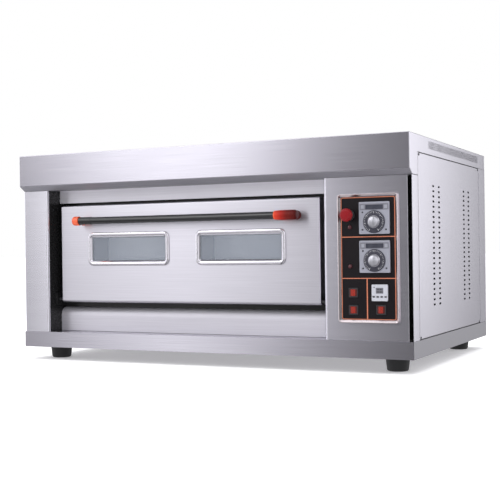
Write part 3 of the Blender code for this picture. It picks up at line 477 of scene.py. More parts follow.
# Near-black: the real colour of the hinge brackets and the left jamb wall, and painted shade in gaps,
# slots, recesses and under the door.
BLACK_AND_SHADE = surface("black_and_painted_shade", (0.010, 0.010, 0.011), (0.018, 0.018, 0.018), 0.24, 0, 160, relief=0.00002,
               Specular_IOR_Level=0.25)
ENAMEL = surface("black_enamel", (0.004, 0.004, 0.005), (0.012, 0.012, 0.013), 0.16, 0, 160,
                 relief=0.00002, Coat_Weight=0.4, Coat_Roughness=0.08)
PLATE_BLACK = surface("black_plate", (0.004, 0.003, 0.004), (0.009, 0.006, 0.008), 0.34, 0, 700,
                      relief=0.00003, Specular_IOR_Level=0.22)
ORANGE = surface("orange_plastic", (0.62, 0.085, 0.030), (0.72, 0.125, 0.045), 0.26, 0, 500,
                 relief=0.00002, Coat_Weight=0.3, Coat_Roughness=0.1)
# The right bracket: orange at its inner end, darkening to near black at its outer end; painted highlight
# and painted shade along it.
RED_BRACKET_PAINTED_SHADE = painted_shade_plastic("red_plastic_bracket_painted_shade", HANDLE.x + BRACKET_INNER, HANDLE.x + BRACKET_END,
                    [(0.0, (0.72, 0.13, 0.055)), (0.08, (0.52, 0.036, 0.014)),
                     (0.34, (0.28, 0.009, 0.006)), (0.60, (0.09, 0.004, 0.003)),
                     (1.0, (0.04, 0.003, 0.003))])
SILVER = surface("silver_plastic", (0.46, 0.47, 0.52), (0.56, 0.57, 0.62), 0.38, 0.25, 1200,
                 relief=0.00002)
PEWTER = surface("pewter_plastic", (0.24, 0.245, 0.29), (0.33, 0.335, 0.385), 0.42, 0.2, 900,
                 relief=0.00002)
STEEL_GREY = surface("steel_grey_plastic", (0.24, 0.25, 0.29), (0.32, 0.33, 0.37), 0.38, 0.2, 900,
                     relief=0.00002)
GREY = surface("grey_plastic", (0.13, 0.13, 0.155), (0.19, 0.19, 0.22), 0.40, 0, 800, relief=0.00003)
DARK = surface("dark_plastic", (0.016, 0.016, 0.018), (0.034, 0.034, 0.038), 0.42, 0, 800, relief=0.00004)
DIAL = surface("grey_dial", (0.026, 0.026, 0.040), (0.048, 0.048, 0.066), 0.42, 0.2, 500, relief=0.00002)
DIAL_CAP = surface("dial_cap", (0.46, 0.46, 0.50), (0.54, 0.54, 0.58), 0.30, 0.80, 400, patches=2.0,
                   uneven=0.01)
# Near-black for the window tunnels: painted shade.
TUNNEL_SHADE_LINING = surface("tunnel_shade_lining", (0.045, 0.045, 0.050), (0.065, 0.065, 0.072), 0.5, relief=0.00003)
DISPLAY = surface("display_window", (0.030, 0.032, 0.045), (0.050, 0.052, 0.068), 0.12, 0, 60,
                  Coat_Weight=0.5)
RED = surface("red_plastic", (0.17, 0.004, 0.007), (0.24, 0.007, 0.011), 0.32, 0, 500, relief=0.00002,
              Specular_IOR_Level=0.2)
DIM_RED = surface("dim_red_lens", (0.040, 0.003, 0.007), (0.070, 0.005, 0.011), 0.30, Coat_Weight=0.5)
LIT = surface("lit_red", (0.17, 0.009, 0.005), (0.25, 0.018, 0.009), 0.30, 0, 420, relief=0.00003,
              Specular_IOR_Level=0.3, Emission_Color=(1.0, 0.07, 0.02, 1.0), Emission_Strength=0.05)
LIT_EDGE = surface("lit_red_edge", (0.060, 0.004, 0.003), (0.090, 0.006, 0.004), 0.30, 0, 420)
LINE = surface("orange_line", (0.46, 0.13, 0.065), (0.56, 0.19, 0.10), 0.36, 0, 600, relief=0.00001)
MARK = surface("pale_marks", (0.62, 0.62, 0.64), (0.74, 0.74, 0.76), 0.45, 0, 900)
GLASS = surface("window_glass", (0.37, 0.41, 0.48), (0.41, 0.45, 0.52), 0.05, 0, 20, patches=4.0,
                uneven=0.02, Alpha=0.30)
INNER_GLASS = surface("inner_glass", (0.74, 0.77, 0.83), (0.82, 0.85, 0.91), 0.14, 0, 20, patches=4.0,
                      uneven=0.03, Alpha=0.92)
CLEAR = surface("lamp_glass", (0.80, 0.84, 0.86), (0.88, 0.91, 0.92), 0.05, 0, 20, patches=4.0,
                uneven=0.02, Transmission_Weight=0.9, IOR=1.5)


def dress(material, edge, *names):
    """Give CAD nodes whose shape is right a finish, and round their edges."""
    for name in names:
        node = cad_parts[name]
        node.data.materials.clear()
        node.data.materials.append(material)
        for polygon in node.data.polygons:
            polygon.material_index = 0
        if edge:
            node.modifiers.new("weld", "WELD").merge_threshold = 0.00001
            bevel(node, edge, 2)
            node.modifiers.new("normals", "WEIGHTED_NORMAL").keep_sharp = True


def paint(piece, material, chosen):
    """Give the faces that are chosen another finish."""
    piece.data.materials.append(material)
    for polygon in piece.data.polygons:
        if chosen(polygon):
            polygon.material_index = len(piece.data.materials) - 1


def paint_black_and_shade(piece, chosen):
    """Paint the faces whose middle is chosen near-black: for a real black wall, and for painted shade in
    gaps, slots and recesses.
    """
    paint(piece, BLACK_AND_SHADE, lambda polygon: chosen(polygon.center))


# ---------------------------------------------------------------- casing
SLOT_COUNT = 48
SLOT_PITCH = 0.0125
SLOT_FIRST = FRONT + 0.192
SLOT_Z = 0.652
SLOT = (0.0050, 0.0240)
HOOD_BEND = 0.5724
HOOD_SKIRT = 0.6245
POST_INNER = -0.574
POST_ROUND = 0.009
JAMB_REAR = FRONT + 0.117
LINTEL_FACE = FRONT + 0.090
LINTEL_EDGE = 0.5165
STOP_FACE = FRONT + 0.115
SILL_ROUND = 0.030
SILL_SHOULDER = 0.141
SILL_SHOWN = 0.0235


def canopy_surface():
    """The hood's outer surface, open below behind its front band."""
    top, lip = CANOPY_HIGH.z, CANOPY_LOW.z
    line = [(FRONT, top), (FRONT, HOOD_BEND), (POST_FACE, lip), (FRONT_SEAM, lip),
            (FRONT_SEAM, HOOD_SKIRT), (REAR, HOOD_SKIRT), (REAR, top)]

    def unwanted(face):
        centre = face.calc_center_median()
        below = face.normal.z < -0.9 and centre.z > HOOD_SKIRT - GAP
        step = face.normal.y > 0.9 and centre.y < REAR - GAP
        return below or step

    bm = bmesh.new()
    prism_into(bm, "X", line, (-HALF, HALF))
    open_up(bm, unwanted)
    return bm


def slot_into(bm, place, size, side):
    """Add one round-ended slot cutter through an oven side, centred on (y, z)."""
    points = [(place[0] + y, place[1] + z) for y, z in outline(*size, min(size) / 2)]
    prism_into(bm, "X", points, (side * (HALF - 0.006), side * (HALF + 0.006)))


def make_canopy():
    """The hood and its vent slots."""
    canopy = press("canopy_shell", canopy_surface(), 0.0022, angle=20)
    bm = bmesh.new()
    for i in range(SLOT_COUNT):
        for side in (-1, 1):
            slot_into(bm, (SLOT_FIRST + i * SLOT_PITCH, SLOT_Z), SLOT, side)
    combine(canopy, bm)
    finish(canopy, "oven", HOOD_STEEL, "brushed_steel", "canopy")
    # Painted shade: the hood's downward-facing bevel gets the darker steel.
    paint(canopy, UNDERSIDE_SHADE_STEEL, lambda polygon: polygon.normal.z < -0.5
          and polygon.center.z < HOOD_SKIRT - GAP)
    paint(canopy, TOP_STEEL, lambda polygon: polygon.normal.z > 0.7)
    paint(canopy, CASING, lambda polygon: abs(polygon.normal.x) > 0.9)


def make_posts():
    """The front posts; the left one's inner wall is black."""
    low, high = LEFT_POST
    line = [(-HALF, FRONT_SEAM)]
    line += arc((-HALF + 0.003, POST_FACE + 0.003), 0.003, 180, 270, 4)
    line += arc((POST_INNER - POST_ROUND, POST_FACE + POST_ROUND), POST_ROUND, -90, 0, 10)
    line += [(POST_INNER, JAMB_REAR), (high.x, JAMB_REAR)]
    post = folded("left_post_shell", "Z", line, (low.z, high.z))
    finish(post, "oven", POST_STEEL, "brushed_steel", "left_front_post")
    inside, shown = POST_INNER - SHEET - GAP, POST_FACE + POST_ROUND * 0.9
    paint_black_and_shade(post, lambda centre: centre.x > inside and centre.y > shown)
    low, high = corners("right_front_post")
    line = [(HALF, low.y), (HALF, high.y), (low.x, high.y)]
    post = folded("right_post_shell", "Z", line, (low.z, high.z))
    finish(post, "oven", CASING, "brushed_steel", "right_front_post", edge=0.0005)
    # Painted shade: the post's faces inside the slot beside the fascia are painted black.
    paint_black_and_shade(post, lambda centre: centre.x < HALF - GAP and centre.y > low.y + GAP)


def make_door_surround():
    """The lintel above the door and the round-topped sill below it."""
    low, high = LINTEL
    line = [(FRONT_SEAM + 2 * GAP, high.z), (LINTEL_FACE, high.z), (LINTEL_FACE, LINTEL_EDGE),
            (STOP_FACE, LINTEL_EDGE), (STOP_FACE, low.z)]
    lintel = folded("lintel_sheet", "X", line, (low.x, high.x))
    finish(lintel, "oven", SATIN_STEEL, "brushed_steel", "lintel", edge=0.0006)
    # Painted shade: the lintel's step back towards the door, in shadow, is painted black.
    paint_black_and_shade(lintel, lambda centre: centre.y > LINTEL_FACE + 0.002 and centre.z < LINTEL_EDGE + 0.0002)
    low, high = SILL
    line = [(STOP_FACE, high.z)]
    line += arc((low.y + SILL_ROUND, SILL_SHOULDER), SILL_ROUND, 101.5, 180, 16)
    line.append((low.y, low.z))
    sill = folded("sill_sheet", "X", line, (low.x, high.x))
    finish(sill, "oven", SILL_STEEL, "brushed_steel", "sill", edge=0.0006)
    # Painted shade: the sill's upper round and its back, in the shadow under the door, are painted black.
    paint_black_and_shade(sill, lambda centre: centre.z > SILL_SHOULDER and centre.y > low.y + SILL_SHOWN)


VENT_COLUMNS = (0.2305, 0.291, 0.587, 0.649)
VENT_ROWS = 24
VENT_FIRST = 0.1855
VENT_PITCH = 0.01517
VENT = (0.020, 0.0060)
COVER_ROUND = 0.0035
COVER_SCREWS = ((-0.355, 0.617), (-0.355, 0.099), (0.339, 0.097), (0.339, 0.617))
REAR_SCREWS = [(-0.62 + 0.31 * i, z) for i in range(5) for z in (0.106, 0.610)]


def rounded(polygon):
    """Whether a face is on a cover's rounded edge."""
    return 0.15 < abs(polygon.normal.x) < 0.97


def cover_tray(name, side):
    """A side cover: a shallow tray, open towards the oven's middle."""
    bm = bmesh.new()
    box_into(bm, *corners(name + "_side_cover"))
    open_up(bm, lambda face: face.normal.x * side < -0.5)
    return press(name + "_cover_shell", bm, COVER_ROUND)


def make_covers():
    """The side covers, the vents on the electrical side, and their screws."""
    cover = cover_tray("left", -1)
    finish(cover, "oven", CASING, "brushed_steel", "left_side_cover")
    # Painted shade: the cover's rounded edges get the darker steel.
    paint(cover, SHADE_STEEL, rounded)
    cover = cover_tray("right", 1)
    bm = bmesh.new()
    for column in VENT_COLUMNS:
        for row in range(VENT_ROWS):
            slot_into(bm, (FRONT + column, VENT_FIRST + row * VENT_PITCH), VENT, 1)
    combine(cover, bm)
    finish(cover, "oven", CASING, "brushed_steel", "right_side_cover")
    # Painted shade: the cover's rounded edges get the darker steel.
    paint(cover, SHADE_STEEL, rounded)
    low, high = corners("right_side_cover")
    # Painted shade: the cover's inner faces, seen through the vents, are painted black.
    paint_black_and_shade(cover, lambda centre: centre.x < HALF - 0.0006 and low.y + 0.004 < centre.y < high.y - 0.004)
    for side, name in ((-1, "left"), (1, "right")):
        spots = [(side * HALF, y, z) for y, z in COVER_SCREWS]
        make_screws(name + "_cover_screws", spots, UNIT["X"] * side, DARK)


CROSS_TURN = 0.13


def screw_head():
    """A pan-head screw, standing on the origin along +Z, with a cross in it."""
    profile = [(0, 0.0018), (0.0016, 0.0017), (0.0030, 0.0012), (0.0037, 0.0004), (0.0038, 0), (0, 0)]
    head = turned("screw_master", profile, (0, 0, 0), UNIT["Z"], 24)
    reach, half = 0.0022, 0.0004
    arm = Vector((reach, -half, 0)), Vector((reach, half, 0)), Vector((half, half, 0))
    turns = [Matrix.Rotation(CROSS_TURN + quarter * math.pi / 2, 3, "Z") for quarter in range(4)]
    cut(head, prism_into, "Z", [turn @ point for turn in turns for point in arm], (0.0008, 0.0030))
    mesh = head.data
    bpy.data.objects.remove(head, do_unlink=True)
    return mesh


SCREW = screw_head()


def make_screws(name, places, direction, material=BRIGHT):
    """Screws standing on a surface, each turned a little further than the last."""
    turn = UNIT["Z"].rotation_difference(Vector(direction)).to_matrix().to_4x4()
    bm = bmesh.new()
    for i, place in enumerate(places):
        start = len(bm.verts)
        bm.from_mesh(SCREW)
        bm.verts.ensure_lookup_table()
        stand = Matrix.Translation(place) @ turn @ Matrix.Rotation(0.5 + 1.3 * i, 4, "Z")
        bmesh.ops.transform(bm, matrix=stand, verts=bm.verts[start:])
    finish(from_bmesh(name, bm), "oven", material, "bright_steel")


def make_feet():
    """Rubber feet with a rim, a waist and a worn edge."""
    for place in ("front_left", "front_right", "rear_left", "rear_right"):
        node = place + "_foot"
        top = corners(node)[1].z
        centre = middle(node)
        rim = [(0, 0), (0.0350, 0), (0.0358, 0.0008), (0.0360, 0.0020), (0.0360, 0.0050),
               (0.0355, 0.0062), (0.0350, 0.0068)]
        profile = [(radius, top - drop) for radius, drop in rim] + [(0.0318, 0.0070)]
        profile += arc((0.0256, 0.0060), 0.0060, 0, -90, 6)
        profile += [(0.0100, 0.0), (0.0090, 0.004), (0, 0.004)]
        foot = turned(place + "_foot_rubber", profile, (centre.x, centre.y, 0), UNIT["Z"])
        finish(foot, "oven", RUBBER, "black_rubber", node)


def make_rear():
    """The rear panel's screws, with rows at its top and bottom edges."""
    make_screws("rear_panel_screws", [(x, REAR, z) for x, z in REAR_SCREWS], UNIT["Y"])


# ---------------------------------------------------------------- door
WINDOW_OFFSET = 0.2008
WINDOW = (0.307, 0.109)
WINDOW_BAND = 0.016
WINDOW_CORNER = 0.020
WINDOW_Z = middle("left_window_frame").z
WINDOWS = {"left": DOOR_X - WINDOW_OFFSET, "right": DOOR_X + WINDOW_OFFSET}
DOOR_SHEET = 0.0012
HINGE_BORE = 0.0055
DOOR_HEM = 0.009
DOOR_ROUND = 0.0045


def make_door_skin():
    """The door's outer skin: a tray with rounded front edges and two openings."""
    low, high = DOOR
    bm = bmesh.new()
    box_into(bm, low, high)
    open_up(bm, lambda face: face.normal.y > 0.5)
    lowest = [edge for edge in bm.edges
              if all(vert.co.z < low.z + GAP and vert.co.y < low.y + GAP for vert in edge.verts)]
    bmesh.ops.bevel(bm, geom=lowest, offset=DOOR_HEM, segments=6, profile=0.5, affect="EDGES")
    skin = press("door_outer_skin", bm, DOOR_ROUND, 4, DOOR_SHEET)
    bm = bmesh.new()
    opening = [side - 2 * WINDOW_BAND + 0.004 for side in WINDOW]
    for x in WINDOWS.values():
        stacked_into(bm, (x, WINDOW_Z), [(low.y + reach, *opening, 0.010) for reach in (-0.01, 0.01)])
    combine(skin, bm)
    hinge = middle("hinge_rod")
    cut(skin, cylinder_into, (DOOR_X, hinge.y, hinge.z), UNIT["X"], HINGE_BORE, high.x - low.x + 0.02)
    finish(skin, "door", DOOR_STEEL, "brushed_steel", "door_outer_panel")
    # Painted shade: the faces under the door's bottom hem are painted black.
    paint(skin, BLACK_AND_SHADE, lambda polygon: polygon.normal.z < -0.7 and polygon.center.z < low.z + DOOR_HEM)


def make_windows():
    """Pressed frames with a rounded section, their inner lips reaching the panes."""
    base, proud, edge = DOOR_FACE - GAP, 0.0040, 0.0009
    crest = WINDOW_BAND * 0.42
    profile = [(0.0, base), (0.0, base - edge)]
    for across, rise in arc((1, 0), 1, 170, 20, 14):
        profile.append((max(across * crest, 0.0002), base - edge - rise * (proud - edge)))
    lip = base + GAP + 0.0010
    profile += [(WINDOW_BAND - 0.0012, base - 0.0006), (WINDOW_BAND, base + 0.0004), (WINDOW_BAND, lip),
                (WINDOW_BAND - 0.0010, lip), (WINDOW_BAND - 0.0014, base)]
    for side, x in WINDOWS.items():
        ring = framed(side + "_window_ring", (x, WINDOW_Z), WINDOW, WINDOW_CORNER, profile, 10)
        finish(ring, "door", BRIGHT, "bright_steel", side + "_window_frame")


def make_tunnel_shade_linings():
    """Near-black sleeves in the tunnels between the front panes and the inner pane: painted shade inside
    the tunnels.
    """
    opening = [side - 2 * WINDOW_BAND - 0.0006 for side in WINDOW]
    near, far = DOOR_FACE + 0.0066, corners("inner_glass")[0].y - GAP
    profile = [(0.0, near), (0.0, far), (0.0006, far), (0.0006, near)]
    for side, x in WINDOWS.items():
        lining = framed(side + "_tunnel_shade_lining", (x, WINDOW_Z), opening, 0.004, profile, 4)
        finish(lining, "door", TUNNEL_SHADE_LINING, "dark_plastic")


def make_handle():
    """The tube and its two brackets; beside the left one a black sleeve stands for painted shade."""
    long, inner = 2 * TUBE_REACH, HANDLE_RADIUS - SHEET
    profile = [(HANDLE_RADIUS, long), (HANDLE_RADIUS, 0), (inner, 0), (inner, long)]
    start = (HANDLE.x - TUBE_REACH, HANDLE.y, HANDLE.z)
    bar = turned("handle_tube", profile, start, UNIT["X"], closed=True)
    finish(bar, "door", ENAMEL, "black_enamel", "handle_bar")
    make_bracket("left", -1, ORANGE)
    make_shade_sleeve()
    # The right bracket's colour carries painted highlight and painted shade.
    make_bracket("right", 1, RED_BRACKET_PAINTED_SHADE)


def make_shade_sleeve():
    """A black sleeve on the tube beside the left bracket, standing for the shade on the bracket's inner
    end.
    """
    long, outer, bore = SHADE_SLEEVE_START - BRACKET_INNER - GAP, 0.0125, HANDLE_RADIUS + TUBE_CLEARANCE
    ring = [(outer - 0.0005, long), (outer, long - 0.0006), (outer, 0.0010), (outer - 0.0005, 0.0),
            (bore, 0.0), (bore, long)]
    place = (HANDLE.x - BRACKET_INNER, HANDLE.y, HANDLE.z)
    sleeve = turned("left_handle_shade_sleeve", ring, place, -UNIT["X"], closed=True)
    finish(sleeve, "door", ENAMEL, "black_enamel")


def make_bracket(side, direction, material):
    """A round cap on the tube's end, swept into an arm back to the door."""
    end = HANDLE.x + direction * BRACKET_END
    length = BRACKET_END - (BRACKET_INNER if direction > 0 else SHADE_SLEEVE_START)
    radius = BRACKET_RADIUS
    profile = [(0, length)] + arc((radius - 0.007, length - 0.007), 0.007, 90, 0, 8)
    if direction > 0:
        profile += [(radius, 0.022), (radius - 0.0008, 0.010), (radius - 0.0016, 0.001),
                    (radius - 0.0019, 0)]
    else:
        profile += [(radius, 0.0008), (radius - 0.0008, 0)]
    profile.append((0, 0))
    start = end - direction * length
    cap = turned(side + "_bracket", profile, (start, HANDLE.y, HANDLE.z), UNIT["X"] * direction)
    bm = bmesh.new()
    far = DOOR_FACE - GAP - HANDLE.y
    arm = [(0, far), (0.0135, far), (0.0140, far - 0.0006), (0.0140, far - 0.003), (0.0122, far - 0.007),
           (0.0118, 0.004), (0, 0.004)]
    turned_into(bm, arm, (end - direction * radius, HANDLE.y, HANDLE.z), UNIT["Y"], 40)
    combine(cap, bm, "UNION")
    near = start - direction * 0.01
    deep = HANDLE.x + direction * (TUBE_REACH + TUBE_CLEARANCE)
    centre = ((near + deep) / 2, HANDLE.y, HANDLE.z)
    cut(cap, cylinder_into, centre, UNIT["X"], HANDLE_RADIUS + TUBE_CLEARANCE, abs(deep - near), 48)
    weld(cap)
    finish(cap, "door", material, "orange_plastic", side + "_handle_bracket", edge=0.0004)


# ---------------------------------------------------------------- controls
BEZEL = corners("control_bezel")
BEZEL_BAND = 0.0085
PLATE = corners("control_panel")
CONTROLLERS = {level: middle(level + "_controller") for level in ("upper", "lower")}
CONTROLLER_SIZE = (0.0904, 0.091)
CONTROLLER_FACE = corners("upper_controller")[0].y
CONTROLLER_SCREWS = ((-0.0345, 0.016), (-0.0345, -0.033), (0.0345, -0.033))
DISPLAY_POCKET = (0.0850, 0.0180)
DISPLAY_DEPTH = 0.0012
DIAL_DROP = 0.011
DIAL_RADIUS = 0.032
CAP_RADIUS = 0.016
CAP_TOP = 0.0135
DOME_RADIUS = 0.036
TICKS = 31
TICK_START = math.radians(-60)
TICK_SWEEP = math.radians(300)
FASCIA_LEFT = 0.4036
LINE_WIDTH = 0.0020
LINE_LEVELS = (0.386, 0.2686)
LINE_ACROSS = 0.535


def make_fascia():
    """The folded sheet that carries the controls, opened behind the plate."""
    low, high = FASCIA
    right, soft = high.x, 0.0015
    line = [(low.x, JAMB_REAR), (FASCIA_LEFT, JAMB_REAR)]
    line += arc((FASCIA_LEFT + POST_ROUND, POST_FACE + POST_ROUND), POST_ROUND, 180, 270, 10)
    line += arc((right - soft, POST_FACE + soft), soft, -90, 0, 4)
    line.append((right, FRONT + 0.060))
    fascia = folded("fascia_sheet", "Z", line, (low.z, high.z))
    rim = Vector((0.014, 0, 0.013))
    low, high = BEZEL[0] + rim, BEZEL[1] - rim
    cut(fascia, box_into, (low.x, POST_FACE - 0.01, low.z), (high.x, POST_FACE + 0.01, high.z))
    finish(fascia, "oven", FASCIA_STEEL, "brushed_steel", "control_fascia")
    # Painted shade: the fascia's end in the slot beside the side cover, and its part back by the door
    # jamb, are painted black.
    paint_black_and_shade(fascia, lambda centre: centre.x > right - GAP or centre.y > JAMB_REAR - 0.007)


def make_bezel():
    """The bright frame round the control plate, rounded in section."""
    low, high = BEZEL
    size, centre = high - low, (low + high) / 2
    profile = [(0.0, high.y), (0.0, low.y + 0.0012), (0.0004, low.y + 0.0004), (0.0012, low.y),
               (0.0020, low.y), (0.0030, low.y + 0.0006), (BEZEL_BAND - 0.0006, low.y + 0.0052),
               (BEZEL_BAND, low.y + 0.0060), (BEZEL_BAND, high.y)]
    ring = framed("bezel_ring", (centre.x, centre.z), (size.x, size.z), 0.010, profile, 8)
    # Its pink tint is a painted reflection of the orange lines.
    finish(ring, "oven", BEZEL_REFLECTION_STEEL, "bright_steel", "control_bezel")


LINE_NEAR, LINE_FAR = PLATE_FACE - 0.00025, PLATE_FACE - 0.00002


def line_into(bm, low, high):
    """Add one thin printed line, standing just proud of the plate."""
    box_into(bm, (low[0], LINE_NEAR, low[1]), (high[0], LINE_FAR, high[1]))


def make_plate_lines():
    """The orange border and dividers on the plate."""
    low, high = PLATE
    low, high = low + Vector((0.0006, 0, 0.0006)), high - Vector((0.0006, 0, 0.0006))
    size, centre = high - low, (low + high) / 2
    profile = [(0.0, LINE_FAR), (0.0, LINE_NEAR), (LINE_WIDTH, LINE_NEAR), (LINE_WIDTH, LINE_FAR)]
    border = framed("plate_border", (centre.x, centre.z), (size.x, size.z), 0.0060, profile, 6)
    finish(border, "oven", LINE, "orange_plastic")
    inset, half, half_across = LINE_WIDTH - 0.0002, 0.0012, 0.0016
    bm = bmesh.new()
    for level in LINE_LEVELS:
        line_into(bm, (low.x + inset, level - half), (high.x - inset, level + half))
    line_into(bm, (LINE_ACROSS - half_across, low.z + inset),
              (LINE_ACROSS + half_across, min(LINE_LEVELS) - half))
    finish(from_bmesh("plate_dividers", bm), "oven", LINE, "orange_plastic")


def plugged(name, node, neck, front, rounding):
    """A control's case: a neck through the plate, and a front with an edge of (depth, inset, corner)."""
    low, high = corners(node)
    centre = middle(node)
    rim = PLATE_FACE - GAP
    layers = [(high.y, *neck), (rim, *neck), (rim, *front, rounding[0][2])]
    for depth, inset, corner in rounding:
        layers.append((low.y + depth, front[0] - 2 * inset, front[1] - 2 * inset, corner))
    return stacked(name, (centre.x, centre.z), layers)


def make_controller(level):
    """A square controller: its body, and the screws in their hollows."""
    node = level + "_controller"
    centre = CONTROLLERS[level]
    body = plugged(level + "_controller_case", node, (0.084, 0.084, 0.002), CONTROLLER_SIZE,
                   ((0.0014, 0, 0.003), (0.0004, 0.0004, 0.0028), (0, 0.0011, 0.0026)))
    window = (centre.x, centre.z + CONTROLLER_SIZE[1] / 2 - 0.0144)
    ends = (CONTROLLER_FACE - 0.01, CONTROLLER_FACE + DISPLAY_DEPTH)
    cut(body, stacked_into, window, [(y, *DISPLAY_POCKET, 0.0015) for y in ends])
    holes, rivets = bmesh.new(), bmesh.new()
    rivet = [(0, 0.0011), (0.0014, 0.0010), (0.0022, 0.0004), (0.0024, 0), (0, 0)]
    for across, rise in CONTROLLER_SCREWS:
        at = Vector((centre.x + across, CONTROLLER_FACE, centre.z + rise))
        cylinder_into(holes, at, UNIT["Y"], 0.0030, 0.003, 20)
        turned_into(rivets, rivet, at + UNIT["Y"] * 0.00145, TO_FRONT, 20)
    combine(body, holes)
    finish(body, "oven", PEWTER, "silver_plastic", node, edge=0.0003)
    make_display(level, *window)
    finish(from_bmesh(level + "_controller_screws", rivets), "oven", DARK, "dark_plastic")


def make_display(level, x, z):
    """The dark strip at a controller's top, with its readout and side boxes."""
    floor = CONTROLLER_FACE + DISPLAY_DEPTH
    face = floor - 0.0009
    width, height = [side - 0.0006 for side in DISPLAY_POCKET]
    strip = stacked(level + "_display_strip", (x, z),
                    [(floor, width, height, 0.0012), (floor - 0.0006, width, height, 0.0012),
                     (face, width - 0.0008, height - 0.0008, 0.0010)])
    finish(strip, "oven", GREY, "dark_plastic")
    readout = stacked(level + "_readout", (x + 0.0005, z - 0.0005),
                      [(face, 0.0520, 0.0130, 0.0010), (face - 0.0003, 0.0516, 0.0126, 0.0008)])
    finish(readout, "oven", DISPLAY, "dark_plastic")
    bm = bmesh.new()
    for side in (-0.0345, 0.0345):
        stacked_into(bm, (x + side, z), [(face, 0.0090, 0.0100, 0.0010),
                                         (face - 0.0004, 0.0084, 0.0094, 0.0008)])
    finish(from_bmesh(level + "_display_marks", bm), "oven", STEEL_GREY, "silver_plastic")


def make_dial(level):
    """A skirted dial with ticks round its skirt, and a bright cap with a pointer."""
    centre = CONTROLLERS[level]
    place = Vector((centre.x, CONTROLLER_FACE - GAP, centre.z - DIAL_DROP))
    body = level + "_dial"
    skirt, cap, top = DIAL_RADIUS, CAP_RADIUS, CAP_TOP
    profile = [(0, 0.0050), (cap + 0.0030, 0.0050), (skirt - 0.0050, 0.0036), (skirt - 0.0012, 0.0030),
               (skirt - 0.0003, 0.0024), (skirt, 0.0016), (skirt, 0), (0, 0)]
    ring = turned(level + "_dial_skirt", profile, place, TO_FRONT, 96)
    finish(ring, body, DIAL, "grey_dial", body)
    rim = math.degrees(math.acos((cap - 0.0016) / DOME_RADIUS))
    profile = arc((0, top - DOME_RADIUS), DOME_RADIUS, 90, rim, 10)
    profile += [(cap - 0.0002, top - 0.0052), (cap + 0.0006, 0.0064), (cap + 0.0018, 0.0052),
                (cap + 0.0018, 0.0050), (0, 0.0050)]
    knob = turned(level + "_dial_cap", profile, place, TO_FRONT, 96)
    finish(knob, body, DIAL_CAP, "silver_plastic")
    finish(dial_ticks(level + "_dial_ticks", place), body, MARK, "silver_plastic")


def dial_ticks(name, place):
    """The ticks round a dial's skirt, every fifth one longer, and the pointer on its cap."""
    bm = bmesh.new()
    for i in range(TICKS):
        inner, half = (0.0238, 0.00045) if i % 5 == 0 else (0.0262, 0.0003)
        verts = box_into(bm, (inner, -half, 0.0034), (0.0292, half, 0.00418))
        turn = Matrix.Rotation(TICK_START + TICK_SWEEP * i / (TICKS - 1), 4, "Z")
        bmesh.ops.transform(bm, matrix=turn, verts=verts)
    box_into(bm, (-0.0004, 0.0070, CAP_TOP - 0.0030), (0.0004, 0.0125, CAP_TOP - 0.0012))
    lay = Matrix.Translation(place) @ Matrix.Rotation(math.pi / 2, 4, "X")
    bmesh.ops.transform(bm, matrix=lay, verts=bm.verts)
    return from_bmesh(name, bm)


TIMER = middle("timer_module")
TIMER_SIZE = (0.048, 0.047)
TIMER_FACE = corners("timer_module")[0].y
KEYS = ["timer_key_%d" % i for i in range(1, 5)]


def make_timer():
    """The timer: case with rounded edges, its display and four keys."""
    case = plugged("timer_case", "timer_module", (0.042, 0.042, 0.002), TIMER_SIZE,
                   ((0.0016, 0, 0.003), (0.0004, 0.0006, 0.0028), (0, 0.0015, 0.0024)))
    x, z = TIMER.x - 0.0002, TIMER.z + 0.0061
    floor = TIMER_FACE + 0.0010
    bm = bmesh.new()
    stacked_into(bm, (x, z), [(y, 0.0220, 0.0167, 0.0010) for y in (TIMER_FACE - 0.01, floor)])
    for name in KEYS:
        low, high = corners(name)
        box_into(bm, (low.x - 0.0004, TIMER_FACE - 0.003, low.z - 0.0004),
                 (high.x + 0.0004, TIMER_FACE + 0.003, high.z + 0.0004))
    combine(case, bm)
    finish(case, "oven", SILVER, "silver_plastic", "timer_module", edge=0.00025)
    glass = [(y, 0.0214, 0.0161, 0.0008) for y in (floor, floor - 0.0006)]
    window = stacked("timer_display", (x, z), glass)
    finish(window, "oven", GREY, "dark_plastic")
    bm = bmesh.new()
    for row in (1, -1):
        for column in range(4):
            at = Vector((x + (column - 1.5) * 0.0046, floor, z + row * 0.0035))
            box_into(bm, at - Vector((0.0015, 0.0008, 0.0022)), at + Vector((0.0015, -0.0006, 0.0022)))
    finish(from_bmesh("timer_segments", bm), "oven", DARK, "dark_plastic")
    lens = [(0, 0.0006), (0.0012, 0.0005), (0.0018, 0.0002), (0.0019, 0.00002), (0, 0.00002)]
    at = (TIMER.x - 0.0160, TIMER_FACE, TIMER.z + 0.0155)
    lamp = turned("timer_lamp", lens, at, TO_FRONT, 24)
    finish(lamp, "oven", DARK, "dark_plastic")
    for name in KEYS:
        make_key(name)


def make_key(name):
    """One of the timer's keys, with a softened front."""
    low, high = corners(name)
    centre, size = (low + high) / 2, high - low
    edge = ((high.y, 0, 0.0006), (low.y + 0.0004, 0, 0.0006), (low.y + 0.0001, 0.0004, 0.0005),
            (low.y, 0.0010, 0.0004))
    layers = [(y, size.x - less, size.z - less, corner) for y, less, corner in edge]
    key = stacked(name + "_cap", (centre.x, centre.z), layers, steps=4)
    finish(key, name, DARK, "dark_plastic", name)


SWITCHES = ("upper_heat", "lower_heat", "lamp")
ROCKER_AXIS = FRONT + 0.0205
ROCKER_REST = math.radians(10)


